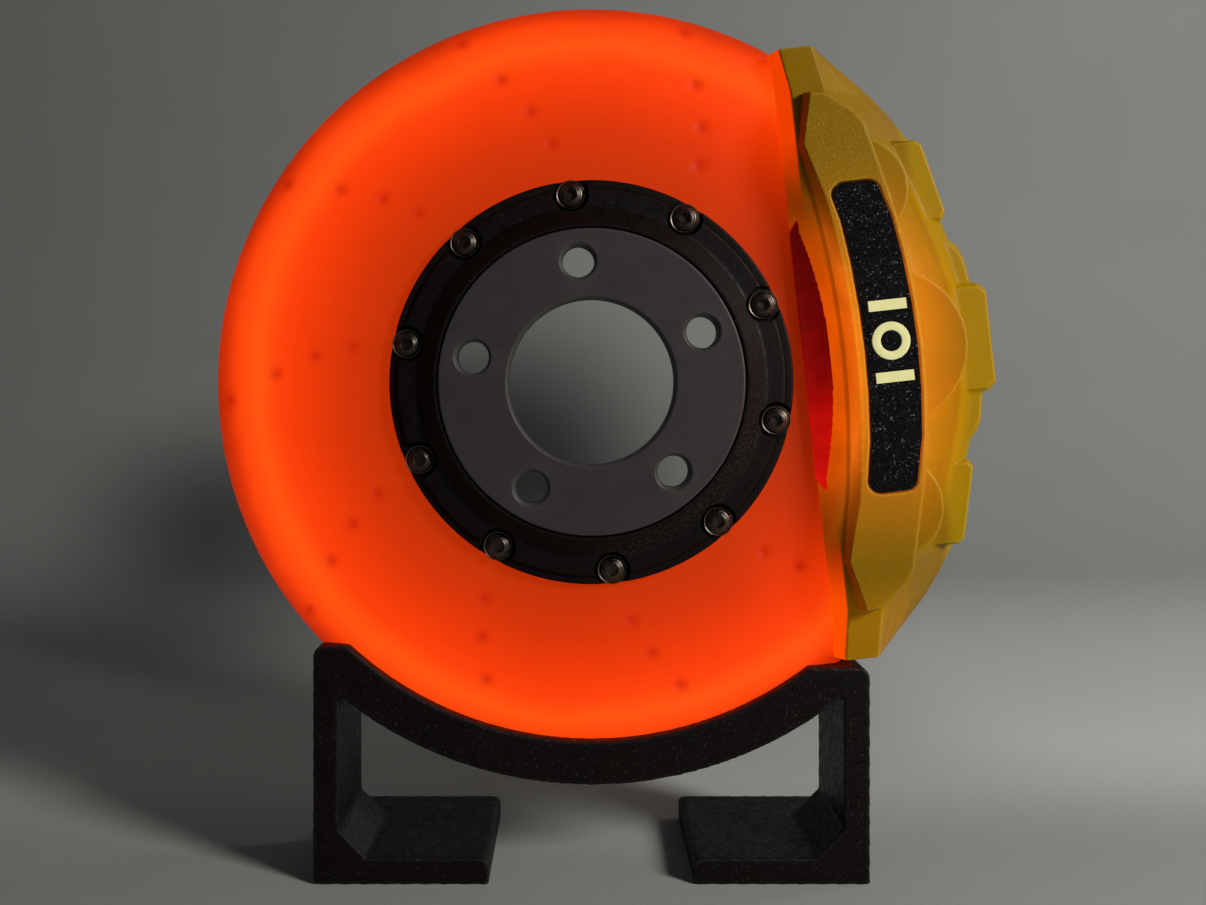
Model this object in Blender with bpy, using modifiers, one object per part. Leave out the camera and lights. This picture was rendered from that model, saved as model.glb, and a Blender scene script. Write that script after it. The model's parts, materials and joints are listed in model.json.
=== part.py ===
"""Brake disc and caliper lamp: a glowing printed disc with a caliper, standing in a cradle.

Every piece is modelled in a frame that looks at the lamp from the front: x to the right, y up and
z towards the viewer, with its zero at the middle of the disc. The empties at the end of this file's
setup turn that frame into the world's, where +Z is up and the lamp faces -Y.
"""

from math import atan2, cos, degrees, pi, radians, sin, sqrt

import bmesh
import bpy
from mathutils import Matrix, Vector

MM = 0.001

# Where the disc's centre stands in the world, and how far the lamp is turned in its cradle.
DISC_CENTRE = (-2.44 * MM, -3.25 * MM, 97.0 * MM)
LAMP_TILT = radians(6.3)

# Gap between pieces that touch on the bench.
FIT = 0.3 * MM

# Disc.
DISC_RADIUS = 75.0 * MM
DISC_HALF_THICKNESS = 10.0 * MM
DISC_RIM_ROUND = 8.0 * MM
SHELL_WALL = 1.6 * MM
SHELL_BORE_RADIUS = 33.0 * MM
DIMPLE_RADIUS = 1.35 * MM
DIMPLE_DEPTH = 0.6 * MM
DIMPLE_ROW_RADII = (0.631, 0.725, 0.8235, 0.949)
DIMPLE_ROW_LAGS = (0.0, 3.0, 6.9, 11.4)
DIMPLE_FIRST_ANGLE = 93.3

# Hat, hub and the screws that clamp the stack.
HAT_RADIUS = 39.3 * MM
HAT_BACK = DISC_HALF_THICKNESS + FIT
HAT_FLANGE_FRONT = 12.1 * MM
HUB_RADIUS = 29.5 * MM
HUB_FRONT = 15.9 * MM
HUB_BACK = 13.9 * MM
BORE_RADIUS = 16.0 * MM
LUG_COUNT = 5
LUG_CIRCLE_RADIUS = 23.3 * MM
LUG_RADIUS = 3.1 * MM
SCREW_COUNT = 10
SCREW_CIRCLE_RADIUS = 36.6 * MM
SCREW_SEAT = 11.2 * MM
SCREW_POCKET_RADIUS = 3.6 * MM
SCREW_RADIUS = 1.5 * MM
SCREW_HOLE_RADIUS = 1.75 * MM
SCREW_HEAD_RADIUS = 2.85 * MM
SCREW_HEAD_HEIGHT = 1.65 * MM
HEX_KEY_RADIUS = 1.15 * MM
HAT_SCREW_LENGTH = 25.0 * MM

# Drum and rear ring round the open well behind the hat, and what they hold between the screws.
COVER_FRONT = -HAT_BACK
COVER_BACK = -14.6 * MM
WELL_RADIUS = 31.0 * MM
DRUM_OUTER_RADIUS = 39.9 * MM
DRUM_HALF_WIDTH = 8.1 * MM
TAPE_HALF_WIDTH = 5.0 * MM
LED_COUNT = 20
POCKET_RADIUS = 34.9 * MM
INLET_ANGLE = 288
SWITCH_ANGLE = 252
BUTTON_RADIUS = 2.4 * MM
BUTTON_TRAVEL = 1.2 * MM
BOARD_BACK = -4.4 * MM
BOARD_HALF_WIDTH = 5.5 * MM
LEAD_GROOVE = (31.9 * MM, 34.2 * MM)
LEAD_ANGLE = 300
LEAD_HEIGHT = -3.6 * MM
LEAD_RADIUS = 0.6 * MM

# Caliper. It sits a little above the disc's middle.
CALIPER_MIDDLE = 0.5 * MM
CALIPER_HALF_LENGTH = 59.2 * MM
CALIPER_FACE = 14.5 * MM
# The base's levels, with the x of its inner edge at the middle and at the ends.
BASE_LEVELS = (
    (0.15, 41.2, 41.2),
    (3.0, 41.2, 41.2),
    (7.2, 41.2, 41.2),
    (11.0, 41.7, 41.4),
    (14.5, 44.4, 42.8),
)
# Along half of the base's outer edge: y, then x at each level.
BASE_ROWS = (
    (59.2, 53.8, 53.8, 52.1, 50.5, 49.1),
    (50.3, 62.2, 62.2, 58.1, 54.3, 50.9),
    (46.5, 65.1, 65.1, 61.0, 57.4, 54.0),
    (41.0, 68.7, 68.7, 64.6, 60.9, 57.5),
    (30.0, 71.2, 71.2, 69.4, 64.5, 60.5),
    (22.4, 74.0, 74.0, 72.2, 67.0, 62.3),
    (17.0, 75.4, 75.4, 73.7, 68.6, 63.4),
    (11.0, 76.5, 76.5, 74.8, 70.3, 64.2),
    (0.0, 77.3, 77.3, 75.6, 71.0, 64.8),
)
DISC_CLEARANCE = 0.4 * MM
ARCH_RADIUS = 84.0 * MM
ARCH_REACH = 46.1 * MM
PAD_FRONT = 12.2 * MM
PAD_INNER_EDGE = 41.5 * MM
PAD_HALF_LENGTH = 28.5 * MM
PLATE_FACE = 19.5 * MM
# The corners round the plate's upper tip, each where it meets the base and at its face.
PLATE_TIPS = (
    ((57.9, 41.0), (56.7, 40.3)),
    ((57.4, 43.0), (56.2, 42.3)),
    ((56.0, 45.1), (55.0, 44.2)),
    ((54.4, 46.5), (53.6, 45.5)),
    ((51.0, 49.1), (50.3, 48.0)),
    ((49.7, 50.1), (49.2, 48.8)),
    ((46.2, 50.2), (46.9, 49.0)),
    ((44.3, 39.8), (44.6, 39.6)),
)
BADGE_DEPTH = 1.0 * MM
MARK_PLACE = (56.9 * MM, 1.5 * MM)
MARK_DEPTH = 0.4 * MM
MARK_RING = (2.0 * MM, 3.6 * MM)
BAR_HALF_SIZE = (3.6 * MM, 1.0 * MM)
BAR_HEIGHTS = (-5.3 * MM, 8.3 * MM)
CALIPER_SCREW_PLACES = {"upper": (54.8 * MM, 43.6 * MM), "lower": (54.8 * MM, -42.6 * MM)}
CALIPER_SCREW_SEAT = 12.3 * MM
CALIPER_SCREW_LENGTH = 26.0 * MM
NUT_HEIGHT = 2.4 * MM
NUT_RADIUS = 3.15 * MM

# Cradle.
STAND_HALF_WIDTH = 53.8 * MM
STAND_HALF_DEPTH = 13.5 * MM
UPRIGHT_WIDTH = 5.0 * MM
FLOOR = -DISC_CENTRE[2]
LIP_RADIUS = 69.5 * MM
GROOVE_RADIUS = 75.6 * MM
ARC_RADIUS = 77.8 * MM
LEFT_TIP = -51.0 * MM
RIGHT_TIP = -55.2 * MM
FOOT_LENGTH = 34.0 * MM
FOOT_HEIGHT = 5.0 * MM
FOOT_DEPTH = 39.5 * MM
GUSSET = 5.5 * MM

ROUND_STEPS = 60
INSIDE_STEPS = 40
# Holes are turned a little about their own axis, so that none of their corners meets a seam.
HOLE_TURN = 5.0


# ---------------------------------------------------------------- scene and helpers


def clear_scene():
    """Remove every object, so that the model is alone in the file."""
    for thing in list(bpy.data.objects):
        bpy.data.objects.remove(thing, do_unlink=True)


def new_collection(name):
    """A collection of the scene."""
    collection = bpy.data.collections.new(name)
    bpy.context.scene.collection.children.link(collection)
    return collection


def new_material(name, colour, roughness, metallic=0.0, glow=0.0):
    """A Principled material; glow is how strongly the piece lights up in its own colour."""
    material = bpy.data.materials.new(name)
    material.use_nodes = True
    shader = material.node_tree.nodes["Principled BSDF"]
    shader.inputs["Base Color"].default_value = (*colour, 1.0)
    shader.inputs["Roughness"].default_value = roughness
    shader.inputs["Metallic"].default_value = metallic
    shader.inputs["Emission Color"].default_value = (*colour, 1.0)
    shader.inputs["Emission Strength"].default_value = glow
    return material


def new_empty(name, parent=None, location=(0, 0, 0), rotation=(0, 0, 0)):
    """An empty that pieces hang on."""
    empty = bpy.data.objects.new(name, None)
    parts.objects.link(empty)
    empty.parent = parent
    empty.location = location
    empty.rotation_euler = rotation
    return empty


def add_piece(name, mesh, material, parent):
    """Put a mesh in the scene as a named piece."""
    piece = bpy.data.objects.new(name, mesh)
    parts.objects.link(piece)
    piece.parent = parent
    mesh.materials.append(material)
    return piece


def add_cutter(name, mesh, parent):
    """Put a mesh in the scene as a hidden tool for a Boolean."""
    cutter = bpy.data.objects.new(name, mesh)
    cutters.objects.link(cutter)
    cutter.parent = parent
    cutter.hide_render = True
    cutter.display_type = "WIRE"
    return cutter


def boolean(piece, tool, operation="DIFFERENCE", solver="EXACT"):
    """Cut a piece with a tool, or join the tool to it."""
    modifier = piece.modifiers.new(tool.name, "BOOLEAN")
    modifier.operation = operation
    modifier.object = tool
    modifier.solver = solver


def mm(points):
    """Points given in millimetres, in metres."""
    return [tuple(value * MM for value in point) for point in points]


def polar(radius, angle):
    """The point at a radius and an angle in degrees, counted anticlockwise from x."""
    return radius * cos(radians(angle)), radius * sin(radians(angle))


def arc(centre, radius, start, end, steps):
    """Points along an arc, from one angle in degrees to another."""
    points = []
    for step in range(steps + 1):
        x, y = polar(radius, start + (end - start) * step / steps)
        points.append((centre[0] + x, centre[1] + y))
    return points


def mirrored(points):
    """An upper half outline and its mirror image below, as one closed outline."""
    return points + [(x, -y) for x, y in reversed(points) if abs(y) > 0.01 * MM]


def loft_mesh(name, sections):
    """A solid through sections of equal point count, each a height z and an anticlockwise outline."""
    bm = bmesh.new()
    rings = [[bm.verts.new((x, y, z)) for x, y in outline] for z, outline in sections]
    for lower, upper in zip(rings, rings[1:]):
        for index in range(len(lower)):
            after = (index + 1) % len(lower)
            bm.faces.new((lower[index], lower[after], upper[after], upper[index]))
    bm.faces.new(list(reversed(rings[0])))
    bm.faces.new(rings[-1])
    bmesh.ops.recalc_face_normals(bm, faces=bm.faces)
    mesh = bpy.data.meshes.new(name)
    bm.to_mesh(mesh)
    bm.free()
    return mesh


def prism_mesh(name, outline, bottom, top):
    """A flat outline with a thickness."""
    return loft_mesh(name, [(bottom, outline), (top, outline)])


def cylinder_mesh(name, radius, bottom, top, centre=(0, 0), top_radius=None, segments=16):
    """An upright cylinder or, with a top radius of its own, a cone."""
    bm = bmesh.new()
    bmesh.ops.create_cone(
        bm,
        cap_ends=True,
        segments=segments,
        radius1=radius,
        radius2=radius if top_radius is None else top_radius,
        depth=top - bottom,
    )
    bmesh.ops.rotate(bm, verts=bm.verts, matrix=Matrix.Rotation(radians(HOLE_TURN), 3, "Z"))
    bmesh.ops.translate(bm, verts=bm.verts, vec=(centre[0], centre[1], (top + bottom) / 2))
    mesh = bpy.data.meshes.new(name)
    bm.to_mesh(mesh)
    bm.free()
    return mesh


def box_mesh(name, low, high):
    """A box between two corners."""
    bm = bmesh.new()
    bmesh.ops.create_cube(bm, size=1)
    size = [b - a for a, b in zip(low, high)]
    middle = [(a + b) / 2 for a, b in zip(low, high)]
    bmesh.ops.scale(bm, verts=bm.verts, vec=size)
    bmesh.ops.translate(bm, verts=bm.verts, vec=middle)
    mesh = bpy.data.meshes.new(name)
    bm.to_mesh(mesh)
    bm.free()
    return mesh


def turn(piece, steps=ROUND_STEPS):
    """Turn a profile about z, with the Screw modifier."""
    screw = piece.modifiers.new("turn", "SCREW")
    screw.axis = "Z"
    screw.angle = 2 * pi
    screw.steps = steps
    screw.render_steps = steps
    screw.use_merge_vertices = True
    screw.merge_threshold = 0.00001
    screw.use_smooth_shade = True
    return piece


def profile_mesh(name, profile, closed=True):
    """A profile of (radius, height), with its outer side listed from top to bottom."""
    verts = [(radius, 0, height) for radius, height in profile]
    edges = [(index, index + 1) for index in range(len(verts) - 1)]
    if closed:
        edges.append((len(verts) - 1, 0))
    mesh = bpy.data.meshes.new(name)
    mesh.from_pydata(verts, edges, [])
    return mesh


def join_meshes(name, meshes):
    """Several closed shapes that don't touch, as one mesh for a single Boolean."""
    bm = bmesh.new()
    for mesh in meshes:
        bm.from_mesh(mesh)
        bpy.data.meshes.remove(mesh)
    joined = bpy.data.meshes.new(name)
    bm.to_mesh(joined)
    bm.free()
    return joined


def hole_set(name, places, radius, bottom, top, segments=16):
    """Equal cylinders at several places."""
    return join_meshes(
        name,
        [cylinder_mesh("hole", radius, bottom, top, place, segments=segments) for place in places],
    )


def screw_places():
    """Where the hat's screws are, from the top anticlockwise."""
    return [polar(SCREW_CIRCLE_RADIUS, 90 + 360 * n / SCREW_COUNT) for n in range(SCREW_COUNT)]


def lug_places():
    """Where the lug holes are, from the top anticlockwise."""
    return [polar(LUG_CIRCLE_RADIUS, 90 + 360 * n / LUG_COUNT) for n in range(LUG_COUNT)]


# ---------------------------------------------------------------- disc


def disc_outer_profile(grow=0.0):
    """The disc's outer side from its front face round the rim to the middle plane."""
    face = DISC_HALF_THICKNESS + grow
    rim = DISC_RADIUS + grow
    round_centre = (DISC_RADIUS - DISC_RIM_ROUND, DISC_HALF_THICKNESS - DISC_RIM_ROUND)
    corner = arc(round_centre, DISC_RIM_ROUND + grow, 90, 0, 6)
    return [(SHELL_BORE_RADIUS, face)] + corner + [(rim, FIT / 2)]


def dimple_places():
    """Rows of blind dimples, each row bending back as it goes outwards."""
    places = []
    for row in range(SCREW_COUNT):
        for share, lag in zip(DIMPLE_ROW_RADII, DIMPLE_ROW_LAGS):
            angle = DIMPLE_FIRST_ANGLE + lag + 36 * row
            places.append(polar(share * DISC_RADIUS, angle))
    return places


def disc_surface(radius):
    """The height of the disc's face at a radius."""
    inwards = radius - (DISC_RADIUS - DISC_RIM_ROUND)
    if inwards <= 0:
        return DISC_HALF_THICKNESS
    return DISC_HALF_THICKNESS - DISC_RIM_ROUND + sqrt(DISC_RIM_ROUND**2 - inwards**2)


def make_disc_shell(name, material, side, dimpled):
    """One half of the disc: side 1 is the front and side -1 the rear."""
    outer = disc_outer_profile()
    inner = disc_outer_profile(-SHELL_WALL)
    profile = outer + [(radius, height) for radius, height in reversed(inner)]
    if side < 0:
        profile = [(radius, -height) for radius, height in reversed(profile)]
    shell = turn(add_piece(name, profile_mesh(name, profile), material, lamp_frame))
    places = screw_places() + list(CALIPER_SCREW_PLACES.values())
    holes = hole_set(name + "_holes", places, SCREW_HOLE_RADIUS, -12 * MM, 12 * MM, 10)
    boolean(shell, add_cutter(name + "_holes", holes, lamp_frame))
    if dimpled:
        dimples = []
        for place in dimple_places():
            surface = disc_surface(Vector(place).length)
            floor = surface - DIMPLE_DEPTH
            top = surface + 2 * MM
            dimples.append(cylinder_mesh("dimple", DIMPLE_RADIUS, floor, top, place, segments=6))
        boolean(shell, add_cutter(name + "_dimples", join_meshes("dimples", dimples), lamp_frame))
    else:
        passage = pocket_mesh("inlet_passage", INLET_ANGLE, (4.9 * MM, 1.9 * MM), -12 * MM, -7 * MM)
        boolean(shell, add_cutter("inlet_passage", passage, lamp_frame))
        room = cylinder_mesh("flange_room", 3.5 * MM, -12 * MM, -7 * MM, pocket_place(SWITCH_ANGLE))
        boolean(shell, add_cutter("flange_room", room, lamp_frame))
    return shell


def pocket_place(angle):
    """The middle of a pocket between two screws."""
    return polar(POCKET_RADIUS, angle)


def pocket_mesh(name, angle, half_size, bottom, top):
    """A box between two screws, its half sizes counted along the ring and across it."""
    along, across = half_size
    low = (-along, POCKET_RADIUS - across, bottom)
    mesh = box_mesh(name, low, (along, POCKET_RADIUS + across, top))
    mesh.transform(rotation_about_z(angle - 90))
    return mesh


# ---------------------------------------------------------------- hat, hub and screws


def make_hat_ring(material):
    """The black ring: a flange, a sloped wall with a pocket for each screw, and a web behind the hub."""
    profile = [
        (HUB_RADIUS + 0.9 * MM, HUB_FRONT - 0.3 * MM),
        (34.4 * MM, 13.1 * MM),
        (37.4 * MM, 12.9 * MM),
        (37.9 * MM, HAT_FLANGE_FRONT),
        (HAT_RADIUS - 0.4 * MM, HAT_FLANGE_FRONT),
        (HAT_RADIUS, HAT_FLANGE_FRONT - 0.4 * MM),
        (HAT_RADIUS, HAT_BACK),
        (BORE_RADIUS, HAT_BACK),
        (BORE_RADIUS, HUB_BACK - FIT),
        (HUB_RADIUS + FIT, HUB_BACK - FIT),
        (HUB_RADIUS + FIT, HUB_FRONT - 0.3 * MM),
    ]
    ring = turn(add_piece("hat_ring", profile_mesh("hat_ring", profile), material, lamp_frame))
    pockets = hole_set("hat_pockets", screw_places(), SCREW_POCKET_RADIUS, SCREW_SEAT, 18 * MM, 18)
    boolean(ring, add_cutter("hat_pockets", pockets, lamp_frame))
    holes = hole_set("hat_holes", screw_places(), SCREW_HOLE_RADIUS, 9 * MM, 14 * MM, 10)
    boolean(ring, add_cutter("hat_holes", holes, lamp_frame))
    lugs = hole_set("hat_lug_holes", lug_places(), LUG_RADIUS, 9 * MM, 15 * MM)
    boolean(ring, add_cutter("hat_lug_holes", lugs, lamp_frame))


def make_hub_face(material):
    """The grey face in front of the hat, with its bore and lug holes chamfered."""
    profile = [
        (HUB_RADIUS - 0.5 * MM, HUB_FRONT),
        (HUB_RADIUS, HUB_FRONT - 0.5 * MM),
        (HUB_RADIUS, HUB_BACK),
        (BORE_RADIUS, HUB_BACK),
        (BORE_RADIUS, HUB_FRONT - 0.7 * MM),
        (BORE_RADIUS + 0.7 * MM, HUB_FRONT),
    ]
    face = turn(add_piece("hub_face", profile_mesh("hub_face", profile), material, lamp_frame))
    lugs = hole_set("hub_lug_holes", lug_places(), LUG_RADIUS, 13 * MM, 17 * MM)
    boolean(face, add_cutter("hub_lug_holes", lugs, lamp_frame))
    chamfers = []
    for place in lug_places():
        low = HUB_FRONT - 0.7 * MM
        high = HUB_FRONT + 0.3 * MM
        wide = LUG_RADIUS + 1.0 * MM
        chamfers.append(cylinder_mesh("chamfer", LUG_RADIUS, low, high, place, wide))
    boolean(face, add_cutter("hub_chamfers", join_meshes("chamfers", chamfers), lamp_frame))


def button_head_profile(seat):
    """The half outline of a domed screw head above its seat, from its crown to its edge."""
    crown = seat + SCREW_HEAD_HEIGHT
    return [
        (0, crown),
        (SCREW_HEAD_RADIUS * 0.55, crown),
        (SCREW_HEAD_RADIUS * 0.87, crown - 0.6 * MM),
        (SCREW_HEAD_RADIUS, crown - 1.3 * MM),
        (SCREW_HEAD_RADIUS, seat),
    ]


def make_screw(name, material, place, seat, length):
    """A button head screw with a hex socket, pointing to the rear."""
    profile = button_head_profile(seat) + [
        (SCREW_RADIUS, seat),
        (SCREW_RADIUS, seat - length),
        (0, seat - length),
    ]
    mesh = profile_mesh(name, profile, closed=False)
    screw = turn(add_piece(name, mesh, material, lamp_frame), 12)
    screw.location = (*place, 0)
    floor = seat + 0.4 * MM
    top = seat + SCREW_HEAD_HEIGHT + 1 * MM
    socket = add_cutter(
        name + "_socket", cylinder_mesh(name, HEX_KEY_RADIUS, floor, top, segments=6), lamp_frame
    )
    socket.location = (*place, 0)
    boolean(screw, socket)


# ---------------------------------------------------------------- inside and rear


def make_core_drum(material):
    """The ring inside that carries the LED tape, with pockets for the inlet and the switch."""
    half = DRUM_HALF_WIDTH
    profile = ring_profile(WELL_RADIUS, DRUM_OUTER_RADIUS, -half, half)
    drum = turn(add_piece("core_drum", profile_mesh("core_drum", profile), material, lamp_frame))
    groove_profile = ring_profile(*LEAD_GROOVE, -half - 1 * MM, LEAD_HEIGHT + 0.8 * MM)
    groove = profile_mesh("lead_groove", groove_profile)
    groove_cutter = turn(add_cutter("lead_groove", groove, lamp_frame), INSIDE_STEPS)
    groove_cutter.rotation_euler = (0, 0, radians(HOLE_TURN))
    boolean(drum, groove_cutter)
    board_room = pocket_mesh("board_room", INLET_ANGLE, (8.4 * MM, 2.3 * MM), -12 * MM, -0.5 * MM)
    boolean(drum, add_cutter("board_room", board_room, lamp_frame))
    switch_room = pocket_mesh("switch_room", SWITCH_ANGLE, (3.0 * MM, 3.0 * MM), -12 * MM, -1.7 * MM)
    boolean(drum, add_cutter("switch_room", switch_room, lamp_frame))
    holes = hole_set("drum_holes", screw_places(), SCREW_HOLE_RADIUS, -12 * MM, 12 * MM, 10)
    boolean(drum, add_cutter("drum_holes", holes, lamp_frame))
    bore = cylinder_mesh("lead_passage", 1.0 * MM, POCKET_RADIUS, 42 * MM, segments=10)
    passage = add_cutter("lead_passage", bore, lamp_frame)
    passage.rotation_euler = (0, radians(90), radians(LEAD_ANGLE))
    passage.location = (0, 0, LEAD_HEIGHT)
    boolean(drum, passage)


def make_led_tape(material):
    """The LED tape round the drum, with its LEDs standing out of it."""
    inner = DRUM_OUTER_RADIUS + FIT
    outer = inner + 1.2 * MM
    profile = [
        (outer, TAPE_HALF_WIDTH),
        (outer, -TAPE_HALF_WIDTH),
        (inner, -TAPE_HALF_WIDTH),
        (inner, TAPE_HALF_WIDTH),
    ]
    tape = add_piece("led_tape", profile_mesh("led_tape", profile), material, lamp_frame)
    turn(tape, INSIDE_STEPS)
    half = 2.5 * MM
    leds = []
    for number in range(LED_COUNT):
        led = box_mesh("led", (outer - 0.4 * MM, -half, -half), (outer + 1.5 * MM, half, half))
        led.transform(rotation_about_z(360 * (number + 0.5) / LED_COUNT))
        leds.append(led)
    boolean(tape, add_cutter("leds", join_meshes("leds", leds), lamp_frame), "UNION")


def rotation_about_z(angle):
    """The matrix of a turn about z, in degrees."""
    return Matrix.Rotation(radians(angle), 4, "Z")


def make_rear_cover(material):
    """The rear ring that the screws pull on, with the ways out for the inlet and the button."""
    profile = [
        (HAT_RADIUS, COVER_FRONT),
        (HAT_RADIUS, COVER_BACK + 0.6 * MM),
        (HAT_RADIUS - 0.6 * MM, COVER_BACK),
        (WELL_RADIUS + 0.6 * MM, COVER_BACK),
        (WELL_RADIUS, COVER_BACK + 0.6 * MM),
        (WELL_RADIUS, COVER_FRONT),
    ]
    cover = turn(add_piece("rear_cover", profile_mesh("rear_cover", profile), material, lamp_frame))
    thread_radius = SCREW_RADIUS + 0.1 * MM
    threads = hole_set("cover_threads", screw_places(), thread_radius, -14.2 * MM, -9 * MM, 10)
    boolean(cover, add_cutter("cover_threads", threads, lamp_frame))
    slot = pocket_mesh("inlet_slot", INLET_ANGLE, (4.8 * MM, 1.9 * MM), -16 * MM, -9 * MM)
    boolean(cover, add_cutter("inlet_slot", slot, lamp_frame))
    place = pocket_place(SWITCH_ANGLE)
    hole = cylinder_mesh("button_hole", BUTTON_RADIUS + FIT, -16 * MM, -9 * MM, place)
    boolean(cover, add_cutter("button_hole", hole, lamp_frame))


def make_driver_board(material):
    """The small board that feeds the LED tape."""
    half_size = (BOARD_HALF_WIDTH, 1.9 * MM)
    mesh = pocket_mesh("driver_board", INLET_ANGLE, half_size, BOARD_BACK, BOARD_BACK + 1.6 * MM)
    add_piece("driver_board", mesh, material, lamp_frame)


def make_usb_inlet(material):
    """The supply socket: a metal shell with a tongue, its mouth at the rear."""
    back = COVER_BACK
    front = BOARD_BACK - FIT
    shell = pocket_mesh("usb_inlet", INLET_ANGLE, (4.5 * MM, 1.6 * MM), back, front)
    inlet = add_piece("usb_inlet", shell, material, lamp_frame)
    mouth_size = (4.15 * MM, 1.25 * MM)
    mouth = pocket_mesh("inlet_mouth", INLET_ANGLE, mouth_size, back - 1 * MM, front - 1.5 * MM)
    boolean(inlet, add_cutter("inlet_mouth", mouth, lamp_frame))
    tongue_size = (3.3 * MM, 0.35 * MM)
    tongue = pocket_mesh("inlet_tongue", INLET_ANGLE, tongue_size, back + 1.2 * MM, front - 0.7 * MM)
    boolean(inlet, add_cutter("inlet_tongue", tongue, lamp_frame), "UNION")


def make_switch(body_material, button_material):
    """The switch behind the rear ring, and the button that presses it."""
    place = pocket_place(SWITCH_ANGLE)
    half = 2.6 * MM
    flange_front = -9.4 * MM
    back = flange_front + BUTTON_TRAVEL + FIT
    body = pocket_mesh("switch_body", SWITCH_ANGLE, (half, half), back, -2.0 * MM)
    switch = add_piece("switch_body", body, body_material, lamp_frame)
    bore = cylinder_mesh("switch_bore", 1.3 * MM, -9 * MM, -3.2 * MM, place, segments=16)
    boolean(switch, add_cutter("switch_bore", bore, lamp_frame))
    stem = 0.9 * MM
    flange = BUTTON_RADIUS + 0.7 * MM
    profile = [
        (0, -5.5 * MM),
        (stem, -5.5 * MM),
        (stem, flange_front),
        (flange, flange_front),
        (flange, -10.0 * MM),
        (BUTTON_RADIUS, -10.0 * MM),
        (BUTTON_RADIUS, -16.4 * MM),
        (BUTTON_RADIUS - 0.5 * MM, -16.9 * MM),
        (0, -16.9 * MM),
    ]
    mesh = profile_mesh("power_button", profile, closed=False)
    button = turn(add_piece("power_button", mesh, button_material, lamp_frame), 24)
    button.location = (*place, 0)


def make_lead(name, route, material):
    """A lead along a route, as a thin tube with closed ends."""
    curve = bpy.data.curves.new(name, "CURVE")
    curve.dimensions = "3D"
    curve.bevel_depth = LEAD_RADIUS
    curve.bevel_resolution = 2
    curve.use_fill_caps = True
    spline = curve.splines.new("POLY")
    spline.points.add(len(route) - 1)
    for point, (x, y) in zip(spline.points, route):
        point.co = (x, y, LEAD_HEIGHT, 1)
    lead = bpy.data.objects.new(name, curve)
    parts.objects.link(lead)
    lead.parent = lamp_frame
    curve.materials.append(material)


def beside_pocket(angle, along, across=0.0):
    """A point beside the middle of a pocket, along the ring and across it."""
    x, y = polar(POCKET_RADIUS + across, angle)
    step_x, step_y = polar(along, angle + 90)
    return x + step_x, y + step_y


def make_leads(material):
    """The leads from the board to the switch and to the tape."""
    side = BOARD_HALF_WIDTH + FIT
    middle = sum(LEAD_GROOVE) / 2
    start = [beside_pocket(INLET_ANGLE, -side), beside_pocket(INLET_ANGLE, -side - 1.2 * MM, -0.9 * MM)]
    along = arc((0, 0), middle, 274, 258.5, 6)
    end = [beside_pocket(SWITCH_ANGLE, 2.6 * MM + FIT, -1.9 * MM)]
    make_lead("lead_to_switch", start + along + end, material)
    corner = polar(POCKET_RADIUS + 1.0 * MM, LEAD_ANGLE)
    outer = polar(DRUM_OUTER_RADIUS - 0.1 * MM, LEAD_ANGLE)
    make_lead("lead_to_tape", [beside_pocket(INLET_ANGLE, side), corner, outer], material)


# ---------------------------------------------------------------- caliper


def raised(outline):
    """An outline moved up to the caliper's middle."""
    return [(x, y + CALIPER_MIDDLE) for x, y in outline]


def base_outline(level):
    """The base's outline at one of its levels."""
    _, inner, inner_end = BASE_LEVELS[level]
    half = mm([(row[level + 1], row[0]) for row in BASE_ROWS])
    ends = mm([(inner_end, CALIPER_HALF_LENGTH / MM), (inner, 50)])
    lower_ends = [(x, -y) for x, y in ends]
    return raised(list(reversed(lower_ends)) + list(reversed(mirrored(half))) + ends)


def base_mesh(name):
    """The base of a caliper half: upright at the rim, then sloping in to its front face."""
    sections = [(level[0] * MM, base_outline(number)) for number, level in enumerate(BASE_LEVELS)]
    return loft_mesh(name, sections)


def scaled_about(outline, centre, factor):
    """An outline shrunk towards a point."""
    middle_x, middle_y = centre
    return [(middle_x + (x - middle_x) * factor, middle_y + (y - middle_y) * factor) for x, y in outline]


def end_block_outline(side):
    """The block outside a piston boss at one end of the caliper: side 1 up, side -1 down."""
    corner = [(72.2, 23.7), (73.1, 24.9), (70.4, 36.5), (69.7, 39.2), (68.4, 40.1)]
    half = mm([(58, 23.7), *corner, (58, 40.1)])
    if side > 0:
        return raised(half)
    return raised([(x, -y) for x, y in reversed(half)])


def caliper_bosses():
    """The piston bosses and the blocks outside them, each a name and a mesh."""
    middle_block = raised(mirrored(mm([(60, 10.7), (77.8, 10.7), (79.4, 9.2)])))
    step_block = raised(mirrored(mm([(60, 22.0), (71.5, 22.0), (75.2, 18.2), (76.1, 15.6), (76.8, 11)])))
    centre = (57.8 * MM, CALIPER_MIDDLE)
    boss = cylinder_mesh("boss", 16.0 * MM, FIT / 2, CALIPER_FACE, centre, 15.0 * MM, 40)
    shapes = [
        ("boss_middle", boss),
        ("block_middle", tapered_block(list(reversed(middle_block)), 9.0 * MM)),
        ("block_step", tapered_block(list(reversed(step_block)), 7.8 * MM)),
    ]
    for side, word in ((1, "upper"), (-1, "lower")):
        centre = (54.8 * MM, CALIPER_MIDDLE + side * 30.8 * MM)
        boss = cylinder_mesh("boss", 10.9 * MM, FIT / 2, CALIPER_FACE, centre, 10.0 * MM, 32)
        shapes.append(("boss_" + word, boss))
        shapes.append(("block_" + word, tapered_block(end_block_outline(side), 9.0 * MM)))
    return shapes


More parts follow.
